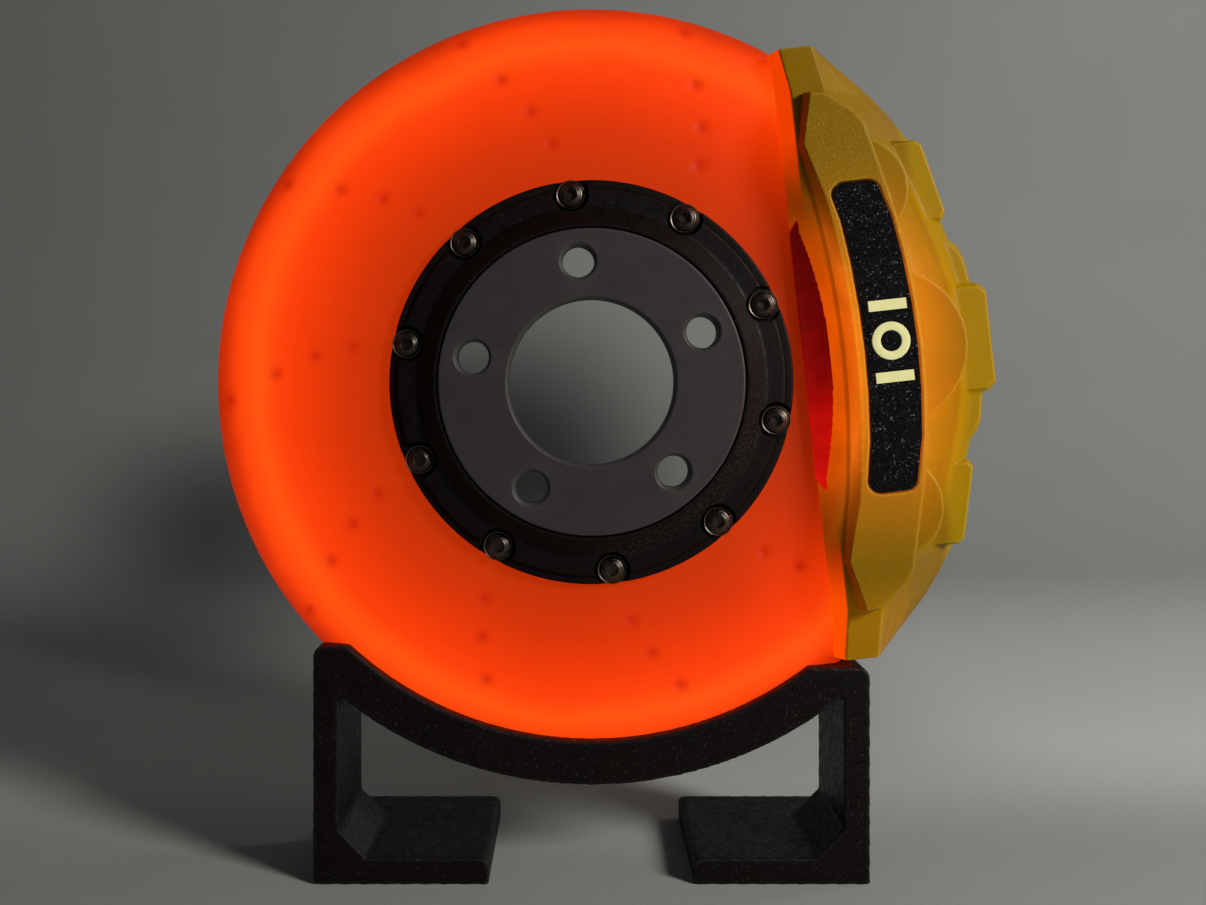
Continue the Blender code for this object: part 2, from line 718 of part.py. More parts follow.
def tapered_block(outline, top):
    """A block from the middle plane outwards, with its front edges drawn in a little."""
    middle = (sum(x for x, _ in outline) / len(outline), sum(y for _, y in outline) / len(outline))
    inset = scaled_about(outline, middle, 0.93)
    return loft_mesh("block", [(FIT / 2, outline), (top - 1 * MM, outline), (top, inset)])


def flip(mesh):
    """Mirror a front mesh to the rear."""
    bm = bmesh.new()
    bm.from_mesh(mesh)
    for vert in bm.verts:
        vert.co.z = -vert.co.z
    bmesh.ops.reverse_faces(bm, faces=bm.faces)
    bm.to_mesh(mesh)
    bm.free()
    return mesh


def pad_outline(grow=0.0):
    """A friction pad's outline, with a straight inner edge that ends in two chamfers."""
    inner = PAD_INNER_EDGE - grow
    long_half = PAD_HALF_LENGTH + grow
    outer = [(57.5 * MM + grow, PAD_HALF_LENGTH + grow), (63 * MM + grow, 13 * MM), (64 * MM + grow, 0)]
    half = [(inner, 24 * MM), (44.5 * MM, long_half), *outer]
    return raised(list(reversed(mirrored(half))))


def make_caliper_half(name, material, side):
    """One half of the caliper: side 1 is the front and side -1 the rear."""

    def sided(mesh):
        return mesh if side > 0 else flip(mesh)

    half = add_piece(name, sided(base_mesh(name)), material, lamp_frame)
    for word, mesh in caliper_bosses():
        # The exact solver leaves a gap where the blocks meet the bosses.
        boolean(half, add_cutter(name + "_" + word, sided(mesh), lamp_frame), "UNION", "MANIFOLD")
    disc_room = disc_outer_profile(DISC_CLEARANCE)
    disc_room[0] = (0, disc_room[0][1])
    disc_room[-1] = (disc_room[-1][0], -1 * MM)
    disc_room.append((0, -1 * MM))
    if side < 0:
        disc_room = [(radius, -height) for radius, height in reversed(disc_room)]
    slot = profile_mesh(name + "_slot", disc_room, closed=False)
    boolean(half, turn(add_cutter(name + "_slot", slot, lamp_frame), 96))
    arch_centre = (ARCH_REACH - ARCH_RADIUS, CALIPER_MIDDLE)
    slope = 4.2 * MM
    low = PAD_FRONT - slope
    high = PAD_FRONT + slope
    arch = cylinder_mesh("arch", ARCH_RADIUS - slope, low, high, arch_centre, ARCH_RADIUS + slope, 180)
    boolean(half, add_cutter(name + "_arch", sided(arch), lamp_frame))
    pocket = prism_mesh("pocket", pad_outline(FIT), 8 * MM, PAD_FRONT + FIT)
    boolean(half, add_cutter(name + "_pad_pocket", sided(pocket), lamp_frame))
    places = list(CALIPER_SCREW_PLACES.values())
    holes = hole_set("holes", places, SCREW_HOLE_RADIUS, -1 * MM, 18 * MM, 16)
    boolean(half, add_cutter(name + "_holes", sided(holes), lamp_frame))
    if side > 0:
        seats = hole_set("seats", places, SCREW_HEAD_RADIUS + FIT, CALIPER_SCREW_SEAT, 18 * MM)
    else:
        floor = CALIPER_FACE - NUT_HEIGHT - FIT
        seats = hole_set("seats", places, NUT_RADIUS + FIT, floor, 18 * MM, 6)
    boolean(half, add_cutter(name + "_seats", sided(seats), lamp_frame))


def plate_outline(share):
    """The raised plate's outline: share 0 is where it meets the base and share 1 its face."""
    inset = share * 1.4 * MM
    inner = [(x - 121.2 * MM, y) for x, y in arc((0, 0), 170 * MM + inset, 9.6, 0, 6)]
    outer = [(x - 72.0 * MM, y) for x, y in arc((0, 0), 136 * MM - inset, 0, 14.6, 6)]
    tips = []
    for (low_x, low_y), (top_x, top_y) in PLATE_TIPS:
        tips.append((low_x + (top_x - low_x) * share, low_y + (top_y - low_y) * share))
    tips = mm(tips)
    half = outer + tips + inner
    lower = [(x, -y) for x, y in reversed(half) if y > 0.01 * MM]
    return raised(half + lower)


def badge_outline(grow=0.0):
    """The badge panel's outline: bent like the plate, with rounded ends."""
    corner = 2.4 * MM + grow
    top = 32.2 * MM
    bottom = -27.0 * MM
    points = []
    for y_end, start in ((top, 0), (bottom, 180)):
        edges = badge_edges(y_end)
        sides = (edges[1] - 2.4 * MM, edges[0] + 2.4 * MM)
        middles = sides if start == 0 else tuple(reversed(sides))
        y_centre = y_end - 2.4 * MM if start == 0 else y_end + 2.4 * MM
        points += arc((middles[0], y_centre), corner, start, start + 90, 4)
        points += arc((middles[1], y_centre), corner, start + 90, start + 180, 4)
        steps = [25, 17, 8, 0, -8, -17] if start == 0 else [-17, -8, 0, 8, 17, 25]
        for y in steps:
            inner, outer = badge_edges(y * MM)
            points.append((inner - grow, y * MM) if start == 0 else (outer + grow, y * MM))
    return points


def badge_edges(y):
    """The badge's inner and outer edge at a height."""
    inner = sqrt((170 * MM) ** 2 - y**2) - 118.2 * MM
    outer = sqrt((136 * MM) ** 2 - y**2) - 74.1 * MM
    return inner, outer


def make_caliper_plate(material):
    """The raised plate over the front half, with the badge's recess."""
    bottom = CALIPER_FACE + FIT
    sections = [
        (bottom, plate_outline(0)),
        (PLATE_FACE - 0.5 * MM, plate_outline(0.7)),
        (PLATE_FACE, plate_outline(1)),
    ]
    plate = add_piece("caliper_plate", loft_mesh("caliper_plate", sections), material, lamp_frame)
    floor = PLATE_FACE - BADGE_DEPTH - FIT
    recess = prism_mesh("badge_recess", badge_outline(0.15 * MM), floor, PLATE_FACE + 2 * MM)
    boolean(plate, add_cutter("badge_recess", recess, lamp_frame))


def bar_outline(height, grow=0.0):
    """A plain bar across the badge."""
    half_x, half_y = (value + grow for value in BAR_HALF_SIZE)
    x = MARK_PLACE[0]
    return [
        (x - half_x, height - half_y),
        (x + half_x, height - half_y),
        (x + half_x, height + half_y),
        (x - half_x, height + half_y),
    ]


def ring_profile(inner, outer, bottom, top):
    """The square profile of a flat ring."""
    return [(outer, top), (outer, bottom), (inner, bottom), (inner, top)]


def make_badge(panel_material, mark_material):
    """The badge panel, with a plain ring and two bars let into it."""
    back = PLATE_FACE - BADGE_DEPTH
    panel_mesh = prism_mesh("badge_panel", badge_outline(-0.15 * MM), back, PLATE_FACE)
    panel = add_piece("badge_panel", panel_mesh, panel_material, lamp_frame)
    floor = PLATE_FACE - MARK_DEPTH
    gap = 0.12 * MM
    over = PLATE_FACE + 1 * MM
    groove_profile = ring_profile(MARK_RING[0] - gap, MARK_RING[1] + gap, floor - gap, over)
    groove = turn(add_cutter("mark_groove", profile_mesh("mark_groove", groove_profile), lamp_frame), 24)
    groove.location = (*MARK_PLACE, 0)
    boolean(panel, groove)
    profile = ring_profile(*MARK_RING, floor, PLATE_FACE)
    ring = turn(add_piece("badge_ring", profile_mesh("badge_ring", profile), mark_material, lamp_frame), 24)
    ring.location = (*MARK_PLACE, 0)
    for number, height in enumerate(BAR_HEIGHTS, 1):
        name = "badge_bar_" + str(number)
        slot = prism_mesh(name + "_slot", bar_outline(height, gap), floor - gap, over)
        boolean(panel, add_cutter(name + "_slot", slot, lamp_frame))
        bar = prism_mesh(name, bar_outline(height), floor, PLATE_FACE)
        add_piece(name, bar, mark_material, lamp_frame)


def make_pads(material):
    """The two friction pads, each in its half's pocket."""
    back = DISC_HALF_THICKNESS + FIT
    add_piece("pad_front", prism_mesh("pad_front", pad_outline(), back, PAD_FRONT), material, lamp_frame)
    rear = flip(prism_mesh("pad_rear", pad_outline(), back, PAD_FRONT))
    add_piece("pad_rear", rear, material, lamp_frame)


def make_caliper_fasteners(material):
    """The two screws that clamp the halves through the disc, and their nuts."""
    for word, place in CALIPER_SCREW_PLACES.items():
        make_screw("caliper_screw_" + word, material, place, CALIPER_SCREW_SEAT, CALIPER_SCREW_LENGTH)
        name = "caliper_nut_" + word
        top = -CALIPER_FACE + NUT_HEIGHT
        body = cylinder_mesh(name, NUT_RADIUS, -CALIPER_FACE, top, place, segments=6)
        nut = add_piece(name, body, material, lamp_frame)
        bore_radius = SCREW_RADIUS + 0.1 * MM
        bore = cylinder_mesh(name + "_bore", bore_radius, -16 * MM, -10 * MM, place, segments=16)
        boolean(nut, add_cutter(name + "_bore", bore, lamp_frame))


# ---------------------------------------------------------------- cradle


def point_on_circle(radius, x=None, y=None):
    """The angle in degrees, below the axis, at which a circle has a given x or y."""
    if x is None:
        x = sqrt(radius**2 - y**2)
    if y is None:
        y = -sqrt(radius**2 - x**2)
    return degrees(atan2(y, x))


def cradle_outline():
    """The front outline of the uprights and the arc between them, with rounded tips."""
    round_tip = 2.0 * MM
    half = STAND_HALF_WIDTH
    inner = half - UPRIGHT_WIDTH
    left_lip = -180 - point_on_circle(LIP_RADIUS, y=LEFT_TIP)
    right_lip = point_on_circle(LIP_RADIUS, y=RIGHT_TIP)
    under = point_on_circle(ARC_RADIUS, x=inner)
    left_tip = arc((-half + round_tip, LEFT_TIP - round_tip), round_tip, 90, 180, 5)
    right_tip = arc((half - round_tip, RIGHT_TIP - round_tip), round_tip, 0, 90, 5)
    outline = list(left_tip)
    outline.append((-half, FLOOR))
    outline.append((-inner, FLOOR))
    outline += arc((0, 0), ARC_RADIUS, -180 - under, under, 24)
    outline.append((inner, FLOOR))
    outline.append((half, FLOOR))
    outline += right_tip
    outline += arc((0, 0), LIP_RADIUS, right_lip, left_lip, 28)
    return outline


def foot_outline(side):
    """A foot seen from above its upright, as a front outline: side 1 is right and side -1 left."""
    outer = STAND_HALF_WIDTH
    inner = outer - UPRIGHT_WIDTH
    end = outer - FOOT_LENGTH
    top = FLOOR + FOOT_HEIGHT
    tip = [(end + 0.8 * MM, top), (end, top - 0.8 * MM), (end, FLOOR)]
    half = [(outer, FLOOR), (outer, top), (inner, top), *tip]
    if side > 0:
        return half
    return [(-x, y) for x, y in reversed(half)]


def gusset_outline(side):
    """The sloped strip in the corner between an upright and its foot."""
    inner = STAND_HALF_WIDTH - UPRIGHT_WIDTH
    top = FLOOR + FOOT_HEIGHT
    half = [
        (inner + 1 * MM, top - 1 * MM),
        (inner - GUSSET, top - 1 * MM),
        (inner - GUSSET, top),
        (inner, top + GUSSET),
        (inner + 1 * MM, top + GUSSET),
    ]
    if side > 0:
        return half
    return [(-x, y) for x, y in reversed(half)]


def make_cradle(material):
    """The cradle: one print of two uprights, a grooved arc and two feet."""
    front = STAND_HALF_DEPTH
    mesh = prism_mesh("cradle_stand", cradle_outline(), -front, front)
    stand = add_piece("cradle_stand", mesh, material, disc_axis)
    for side, word in ((-1, "left"), (1, "right")):
        foot = prism_mesh("foot_" + word, foot_outline(side), front - FOOT_DEPTH, front)
        boolean(stand, add_cutter("foot_" + word, foot, disc_axis), "UNION", "MANIFOLD")
        gusset = prism_mesh("gusset_" + word, gusset_outline(side), -front, front)
        boolean(stand, add_cutter("gusset_" + word, gusset, disc_axis), "UNION", "MANIFOLD")
    groove_profile = disc_outer_profile(GROOVE_RADIUS - DISC_RADIUS)
    groove_profile[0] = (0, groove_profile[0][1])
    lower = [(radius, -height) for radius, height in reversed(groove_profile)]
    groove = profile_mesh("groove", groove_profile + lower, closed=False)
    boolean(stand, turn(add_cutter("groove", groove, disc_axis), 96))


# ---------------------------------------------------------------- assembly

clear_scene()
parts = new_collection("brake_disc_lamp")
cutters = new_collection("cutters")

disc_axis = new_empty("disc_axis", None, DISC_CENTRE, (radians(90), 0, 0))
lamp_frame = new_empty("lamp_frame", disc_axis, rotation=(0, 0, LAMP_TILT))

glowing_print = new_material("glowing_print", (1.0, 0.08, 0.005), 0.45, glow=2.0)
black_print = new_material("black_print", (0.012, 0.011, 0.011), 0.5)
grey_print = new_material("grey_print", (0.045, 0.042, 0.042), 0.6)
yellow_print = new_material("yellow_print", (0.6, 0.37, 0.02), 0.5)
red_print = new_material("red_print", (0.35, 0.01, 0.008), 0.4)
cream_print = new_material("cream_print", (0.75, 0.72, 0.42), 0.5)
glitter_panel = new_material("glitter_panel", (0.015, 0.012, 0.012), 0.35)
white_print = new_material("white_print", (0.75, 0.74, 0.7), 0.5)
steel = new_material("steel", (0.45, 0.42, 0.38), 0.25, metallic=1.0)
tape_material = new_material("led_tape", (0.85, 0.82, 0.7), 0.4, glow=1.0)
board_green = new_material("board_green", (0.02, 0.12, 0.05), 0.4)
lead_red = new_material("lead_red", (0.5, 0.02, 0.02), 0.45)

make_cradle(black_print)
make_disc_shell("disc_front_shell", glowing_print, 1, dimpled=True)
make_disc_shell("disc_rear_shell", glowing_print, -1, dimpled=False)
make_hat_ring(black_print)
make_hub_face(grey_print)
for number, screw_place in enumerate(screw_places(), 1):
    make_screw("hat_screw_%02d" % number, steel, screw_place, SCREW_SEAT, HAT_SCREW_LENGTH)
make_core_drum(white_print)
make_led_tape(tape_material)
make_rear_cover(black_print)
make_driver_board(board_green)
make_usb_inlet(steel)
make_switch(black_print, black_print)
make_leads(lead_red)
make_caliper_half("caliper_front", yellow_print, 1)
make_caliper_half("caliper_rear", yellow_print, -1)
make_caliper_plate(yellow_print)
make_badge(glitter_panel, cream_print)
make_pads(red_print)
make_caliper_fasteners(steel)
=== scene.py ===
"""The looks of the brake disc lamp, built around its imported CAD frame.

The fine pieces are modelled as the part is, in a frame that looks at the lamp from the front: x to the
right, y up and z towards the viewer, with its zero at the middle of the disc. LAMP turns that frame
into the world's. Lengths are metres, written as millimetres times MM.
"""

import json
from math import atan2, cos, pi, radians, sin

import bmesh
import bpy
import numpy as np
from mathutils import Matrix, Vector


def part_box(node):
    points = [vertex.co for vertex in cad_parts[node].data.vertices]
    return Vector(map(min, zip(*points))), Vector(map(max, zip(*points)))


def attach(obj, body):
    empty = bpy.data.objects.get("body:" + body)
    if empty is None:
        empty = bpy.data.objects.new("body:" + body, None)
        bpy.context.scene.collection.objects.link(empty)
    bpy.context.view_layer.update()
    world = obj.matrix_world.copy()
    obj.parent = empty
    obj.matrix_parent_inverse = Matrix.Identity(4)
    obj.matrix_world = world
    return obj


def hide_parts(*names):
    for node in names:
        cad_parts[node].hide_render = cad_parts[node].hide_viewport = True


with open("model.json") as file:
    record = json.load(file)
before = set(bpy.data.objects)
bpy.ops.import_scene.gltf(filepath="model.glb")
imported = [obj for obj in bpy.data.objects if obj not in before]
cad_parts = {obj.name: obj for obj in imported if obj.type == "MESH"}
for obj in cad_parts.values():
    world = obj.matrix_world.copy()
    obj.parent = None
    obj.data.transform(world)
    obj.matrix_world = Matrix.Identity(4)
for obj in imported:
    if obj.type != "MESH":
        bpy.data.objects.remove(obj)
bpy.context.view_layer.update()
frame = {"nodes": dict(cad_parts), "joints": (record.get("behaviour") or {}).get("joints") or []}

MM = 0.001


def middle_of(node):
    """The middle of a CAD node's box."""
    low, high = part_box(node)
    return (low + high) / 2


# The disc's axis, and how far the lamp leans in its cradle, read from the frame.
AXIS = Vector(next(joint["pos_m"] for joint in frame["joints"] if joint["name"] == "lamp_turn"))
TOP_SCREW = middle_of("hat_screw_01") - AXIS
TILT = atan2(-TOP_SCREW.x, TOP_SCREW.z)
STAND = Matrix.Translation(AXIS) @ Matrix.Rotation(radians(90), 4, "X")
LAMP = STAND @ Matrix.Rotation(TILT, 4, "Z")

# Disc.
DISC_RADIUS = 75.0 * MM
DISC_HALF_THICKNESS = 10.0 * MM
RIM_ROUND = 8.0 * MM
SHELL_WALL = 1.6 * MM
SHELL_BORE = 33.0 * MM
SEAM = 0.15 * MM
DIMPLE_ROWS = 10
DIMPLE_ROW_RADII = (0.631, 0.725, 0.8235, 0.949)
DIMPLE_ROW_LAGS = (0.0, 3.0, 6.9, 11.4)
DIMPLE_FIRST_ANGLE = 93.3
DIMPLE_SPREAD = 1.15 * MM
DIMPLE_DEPTH = 0.55 * MM

# Hat, hub and screws.
HAT_RADIUS = 39.3 * MM
HAT_BACK = 10.3 * MM
HUB_RADIUS = 29.5 * MM
HUB_FRONT = 15.9 * MM
HUB_BACK = 13.9 * MM
BORE = 16.0 * MM
LUG_CIRCLE = 23.3 * MM
LUG_RADIUS = 3.1 * MM
SCREW_CIRCLE = 36.6 * MM
SCREW_SEAT = 11.2 * MM
SCREW_HOLE = 1.75 * MM
SCREW_POCKET = 3.6 * MM
HEAD_RADIUS = 2.85 * MM
HEAD_HEIGHT = 1.65 * MM
CALIPER_SCREWS = {"upper": (54.8 * MM, 43.6 * MM), "lower": (54.8 * MM, -42.6 * MM)}
CALIPER_SCREW_SEAT = 12.3 * MM
HAT_SCREW_LENGTH = 25 * MM
CALIPER_SCREW_LENGTH = 26 * MM

# Drum and rear ring round the open well, with the inlet and the button between two screws each.
COVER_FRONT = -10.3 * MM
COVER_BACK = -14.6 * MM
WELL_RADIUS = 31.0 * MM
DRUM_RADIUS = 39.9 * MM
DRUM_HALF_WIDTH = 8.1 * MM
POCKET_RADIUS = 34.9 * MM
INLET_ANGLE = 288
BUTTON_ANGLE = 252
BUTTON_RADIUS = 2.4 * MM

# Caliper.
ARCH_CENTRE = (-37.9 * MM, 0.5 * MM)
ARCH_RADIUS = 84.0 * MM
PLATE_FOOT_CENTRE = (-121.2 * MM, 0.5 * MM)
PLATE_FOOT_RADIUS = 170.0 * MM
BADGE_FACE = 19.5 * MM
RING_PLACE = (56.9 * MM, 1.5 * MM)


# ---------------------------------------------------------------- materials

UNLIT = (0.0, 0.0, 0.0)


def srgb(red, green, blue):
    """A display colour, 0 to 255 a channel, as linear light."""
    linear = []
    for value in (red, green, blue):
        share = value / 255
        linear.append(share / 12.92 if value < 11 else ((share + 0.055) / 1.055) ** 2.4)
    return tuple(linear)


class Finish:
    """A Principled material whose sockets are fed by small chains of nodes, in the lamp's own frame."""

    def __init__(self, name, roughness=0.5, metallic=0.0, specular=0.5):
        self.material = bpy.data.materials.new(name)
        self.material.use_nodes = True
        self.tree = self.material.node_tree
        self.shader = self.tree.nodes["Principled BSDF"]
        self.shader.inputs["Roughness"].default_value = roughness
        self.shader.inputs["Metallic"].default_value = metallic
        self.shader.inputs["Specular IOR Level"].default_value = specular
        world = self.tree.nodes.new("ShaderNodeTexCoord").outputs["Object"]
        turn = {"Vector": world, "Location": tuple(AXIS), "Rotation": tuple(LAMP.to_euler())}
        self.place = self.node("Mapping", turn, vector_type="TEXTURE").outputs[0]

    def node(self, kind, inputs=None, **settings):
        """A node, with its settings and what feeds each of its inputs."""
        node = self.tree.nodes.new("ShaderNode" + kind)
        for name, value in settings.items():
            setattr(node, name, value)
        for name, value in (inputs or {}).items():
            self.feed(node.inputs[name], value)
        return node

    def feed(self, socket, value):
        """Link a socket to another, or set its value."""
        if isinstance(value, bpy.types.NodeSocket):
            self.tree.links.new(value, socket)
        elif isinstance(value, tuple) and len(value) == 3 and socket.type == "RGBA":
            socket.default_value = (*value, 1.0)
        else:
            socket.default_value = value

    def set(self, name, value):
        """Feed one of the shader's own sockets."""
        self.feed(self.shader.inputs[name], value)

    def math(self, operation, first, second=0.0, clamp=False):
        """One sum of two values."""
        return self.node("Math", {0: first, 1: second}, operation=operation, use_clamp=clamp).outputs[0]

    def times(self, first, *others):
        """The product of several values."""
        product = first
        for other in others:
            product = self.math("MULTIPLY", product, other)
        return product

    def mix(self, share, first, second, blend="MIX"):
        """Two colours mixed."""
        node = self.node("Mix", data_type="RGBA", blend_type=blend)
        self.feed(node.inputs[0], share)
        self.feed(node.inputs[6], first)
        self.feed(node.inputs[7], second)
        return node.outputs[2]

    def step(self, value, low, high):
        """A smooth step of a value, from 0 at low to 1 at high; low may be above high."""
        names = {"Value": value, "From Min": low, "From Max": high}
        return self.node("MapRange", names, interpolation_type="SMOOTHSTEP").outputs[0]

    def remap(self, value, low, high, new_low, new_high):
        """A value moved in a straight line from one range to another."""
        names = {"Value": value, "From Min": low, "From Max": high, "To Min": new_low, "To Max": new_high}
        return self.node("MapRange", names).outputs[0]

    def ramp(self, value, stops):
        """A colour ramp through stops of a place and a linear colour."""
        node = self.node("ValToRGB", {"Fac": value})
        elements = node.color_ramp.elements
        elements.remove(elements[1])
        elements[0].position = stops[0][0]
        elements[0].color = (*stops[0][1], 1.0)
        for position, colour in stops[1:]:
            elements.new(position).color = (*colour, 1.0)
        return node.outputs["Color"]

    def noise(self, scale, detail=2.0, roughness=0.5, stretch=None):
        """Noise of a size in features a metre, stretched along the axes if asked."""
        place = self.place
        if stretch:
            place = self.node("Mapping", {"Vector": place, "Scale": stretch}).outputs[0]
        inputs = {"Vector": place, "Scale": scale, "Detail": detail, "Roughness": roughness}
        return self.node("TexNoise", inputs).outputs[0]

    def cells(self, scale):
        """A random value from 0 to 1 for each small cell."""
        node = self.node("TexVoronoi", {"Vector": self.place, "Scale": scale})
        return self.node("SeparateColor", {0: node.outputs["Color"]}).outputs[0]

    def axes(self):
        """The x, y and z of a place."""
        return self.node("SeparateXYZ", {0: self.place}).outputs

    def from_point(self, centre):
        """The distance in the front plane from a point."""
        x, y, _ = self.axes()
        across = self.math("SUBTRACT", x, centre[0])
        up = self.math("SUBTRACT", y, centre[1])
        total = self.math("ADD", self.times(across, across), self.times(up, up))
        return self.math("SQRT", total)

    def layers(self, along, pitch):
        """The ridges of printed layers along a value."""
        return self.math("SINE", self.times(along, 2 * pi / pitch))

    def edges(self, low=0.5, high=0.56):
        """The outer edges of a densely meshed piece, from 0 to 1."""
        return self.step(self.node("NewGeometry").outputs["Pointiness"], low, high)

    def bump(self, height, distance, under=None, strength=1.0):
        """A bump of a height in metres at full value, on top of another if given."""
        inputs = {"Height": height, "Distance": distance, "Strength": strength}
        node = self.node("Bump", inputs)
        if under is not None:
            self.feed(node.inputs["Normal"], under)
        self.set("Normal", node.outputs[0])
        return node.outputs[0]


def glowing_print(name):
    """The translucent orange print of the disc, lit from within and brightest inside the rim."""
    finish = Finish(name, roughness=0.45, specular=0.1)
    x, y, _ = finish.axes()
    radius = finish.from_point((0.0, 0.0))
    blotch = finish.noise(38, 3.0, 0.55)
    wander = finish.remap(blotch, 0.3, 0.7, -0.9 * MM, 0.9 * MM)
    share = finish.math("DIVIDE", finish.math("ADD", radius, wander), DISC_RADIUS)
    # The ramp is the tape's glow by radius; its fall over the last of the rim is painted shade where the
    # rim turns away.
    glow = finish.ramp(
        share,
        [
            (0.44, srgb(178, 43, 2)),
            (0.56, srgb(188, 45, 2)),
            (0.66, srgb(208, 47, 2)),
            (0.76, srgb(237, 55, 2)),
            (0.82, srgb(252, 62, 5)),
            (0.875, srgb(255, 84, 13)),
            (0.93, srgb(254, 67, 10)),
            (0.955, srgb(226, 52, 5)),
            (0.98, srgb(196, 42, 3)),
            (1.0, srgb(166, 38, 4)),
        ],
    )
    # Beside the caliper the tape's light is shaded off.
    across = finish.step(x, 27 * MM, 47 * MM)
    beside = finish.math("SUBTRACT", 1.0, finish.step(finish.math("ABSOLUTE", y), 16 * MM, 52 * MM))
    shade = finish.remap(finish.times(across, beside), 0.0, 1.0, 1.0, 0.3)
    # In the dimples the glow is painted dimmer and redder, a painted shade in the hollows.
    dimple = finish.node("Attribute", attribute_name="dimple").outputs["Fac"]
    hollow = finish.remap(dimple, 0.0, 1.0, 1.0, 0.72)
    strength = finish.times(shade, hollow, 0.93)
    cooler = finish.mix(finish.times(dimple, 0.5), glow, srgb(226, 22, 2))
    finish.set("Emission Color", cooler)
    finish.set("Emission Strength", strength)
    finish.set("Base Color", finish.mix(blotch, (0.16, 0.012, 0.002), (0.24, 0.02, 0.003)))
    grain = finish.bump(finish.noise(2600, 2.0), 0.02 * MM)
    finish.bump(finish.layers(finish.math("ADD", x, y), 0.8 * MM), 0.004 * MM, grain, 0.5)
    finish.set("Roughness", finish.remap(finish.noise(500), 0.3, 0.7, 0.38, 0.5))
    return finish.material


def yellow_print(name, textured):
    """The caliper's yellow print, with a painted glow where the disc's light comes through."""
    finish = Finish(name, roughness=0.45, specular=0.1)
    x, y, z = finish.axes()
    patches = finish.noise(60, 3.0)
    base = finish.mix(patches, (0.3, 0.153, 0.0), (0.35, 0.183, 0.0005))
    # The edges are painted paler, a painted highlight.
    pale_edges = finish.mix(finish.times(finish.edges(), 0.55), base, (0.62, 0.42, 0.03))
    if textured:
        # Pale specks painted in as glints of the textured bed, painted stronger towards the top.
        speck = finish.step(finish.cells(5200), 0.8, 1.0)
        upper = finish.remap(finish.step(y, -34 * MM, 30 * MM), 0.0, 1.0, 0.04, 0.2)
        pale_edges = finish.mix(1.0, pale_edges, (0.9, 0.91, 1.0), "MULTIPLY")
        sparkling = finish.mix(finish.times(speck, upper), pale_edges, (0.7, 0.55, 0.12))
        finish.set("Base Color", sparkling)
        bed = finish.bump(finish.noise(1700, 3.0, 0.7), 0.07 * MM)
        finish.bump(finish.cells(3300), 0.02 * MM, bed)
        finish.set("Roughness", finish.remap(finish.cells(3000), 0.0, 1.0, 0.3, 0.6))
    else:
        streaks = finish.noise(420, 2.0, 0.5, (0.12, 0.12, 1.6))
        banded = finish.mix(finish.remap(streaks, 0.35, 0.65, 0.0, 0.35), pale_edges, (0.22, 0.105, 0.0))
        finish.set("Base Color", banded)
        ridges = finish.bump(finish.layers(z, 0.45 * MM), 0.015 * MM, None, 0.6)
        finish.bump(finish.noise(900, 2.0), 0.03 * MM, ridges)
        finish.set("Roughness", finish.remap(finish.noise(300), 0.3, 0.7, 0.36, 0.5))
    # A painted glow stands for the disc's light through the middle; it falls off away from the arch, by
    # how far a place is past it.
    from_arch = finish.math("SUBTRACT", finish.from_point(ARCH_CENTRE), ARCH_RADIUS)
    height = finish.math("ABSOLUTE", finish.math("ADD", y, 2.0 * MM))
    middle = finish.step(height, 42 * MM, 9 * MM)
    through = finish.ramp(
        finish.math("DIVIDE", from_arch, 30 * MM),
        [
            (0.0, (0.74, 0.07, 0.0)),
            (0.09, (0.72, 0.078, 0.0)),
            (0.14, (0.78, 0.135, 0.005)),
            (0.19, (0.4, 0.07, 0.002)),
            (0.63, (0.42, 0.085, 0.003)),
            (0.73, (0.3, 0.05, 0.0)),
            (0.83, (0.18, 0.028, 0.0)),
            (0.95, (0.02, 0.002, 0.0)),
        ],
    )
    # Along the plate's foot the painted glow is halved, a painted shade in the groove there.
    from_foot = finish.math("SUBTRACT", finish.from_point(PLATE_FOOT_CENTRE), PLATE_FOOT_RADIUS)
    near_foot = finish.step(finish.math("ABSOLUTE", from_foot), 0.85 * MM, 0.2 * MM)
    seam = finish.times(near_foot, finish.step(z, 15.6 * MM, 15.0 * MM))
    soft = finish.remap(finish.noise(160, 2.0), 0.3, 0.7, 0.85, 1.1)
    kept = finish.remap(seam, 0.0, 1.0, 1.0, 0.5)
    share = finish.times(middle, kept, soft)
    glow = finish.mix(share, UNLIT, through)
    # Painted light: the side that faces the disc is painted lit red, the outer blocks get a painted
    # yellow glow and the lower end a painted amber glow.
    inward = finish.step(x, 45.2 * MM, 44.2 * MM)
    side = finish.times(inward, finish.step(z, 14.4 * MM, 13.9 * MM))
    end = finish.step(height, 30 * MM, 46 * MM)
    red = finish.mix(finish.times(side, end), UNLIT, (0.78, 0.036, 0.0))
    block = finish.times(finish.step(x, 65.5 * MM, 68 * MM), finish.step(z, 10.5 * MM, 9.3 * MM))
    yellow = finish.mix(block, UNLIT, (0.085, 0.065, 0.0))
    foot = finish.times(finish.step(y, -40 * MM, -50 * MM), finish.step(x, 60 * MM, 56 * MM))
    amber = finish.mix(foot, yellow, (0.08, 0.025, 0.0))
    total = finish.mix(1.0, finish.mix(1.0, glow, red, "ADD"), amber, "ADD")
    finish.set("Emission Color", total)
    finish.shader.inputs["Emission Strength"].default_value = 1.0
    return finish.material


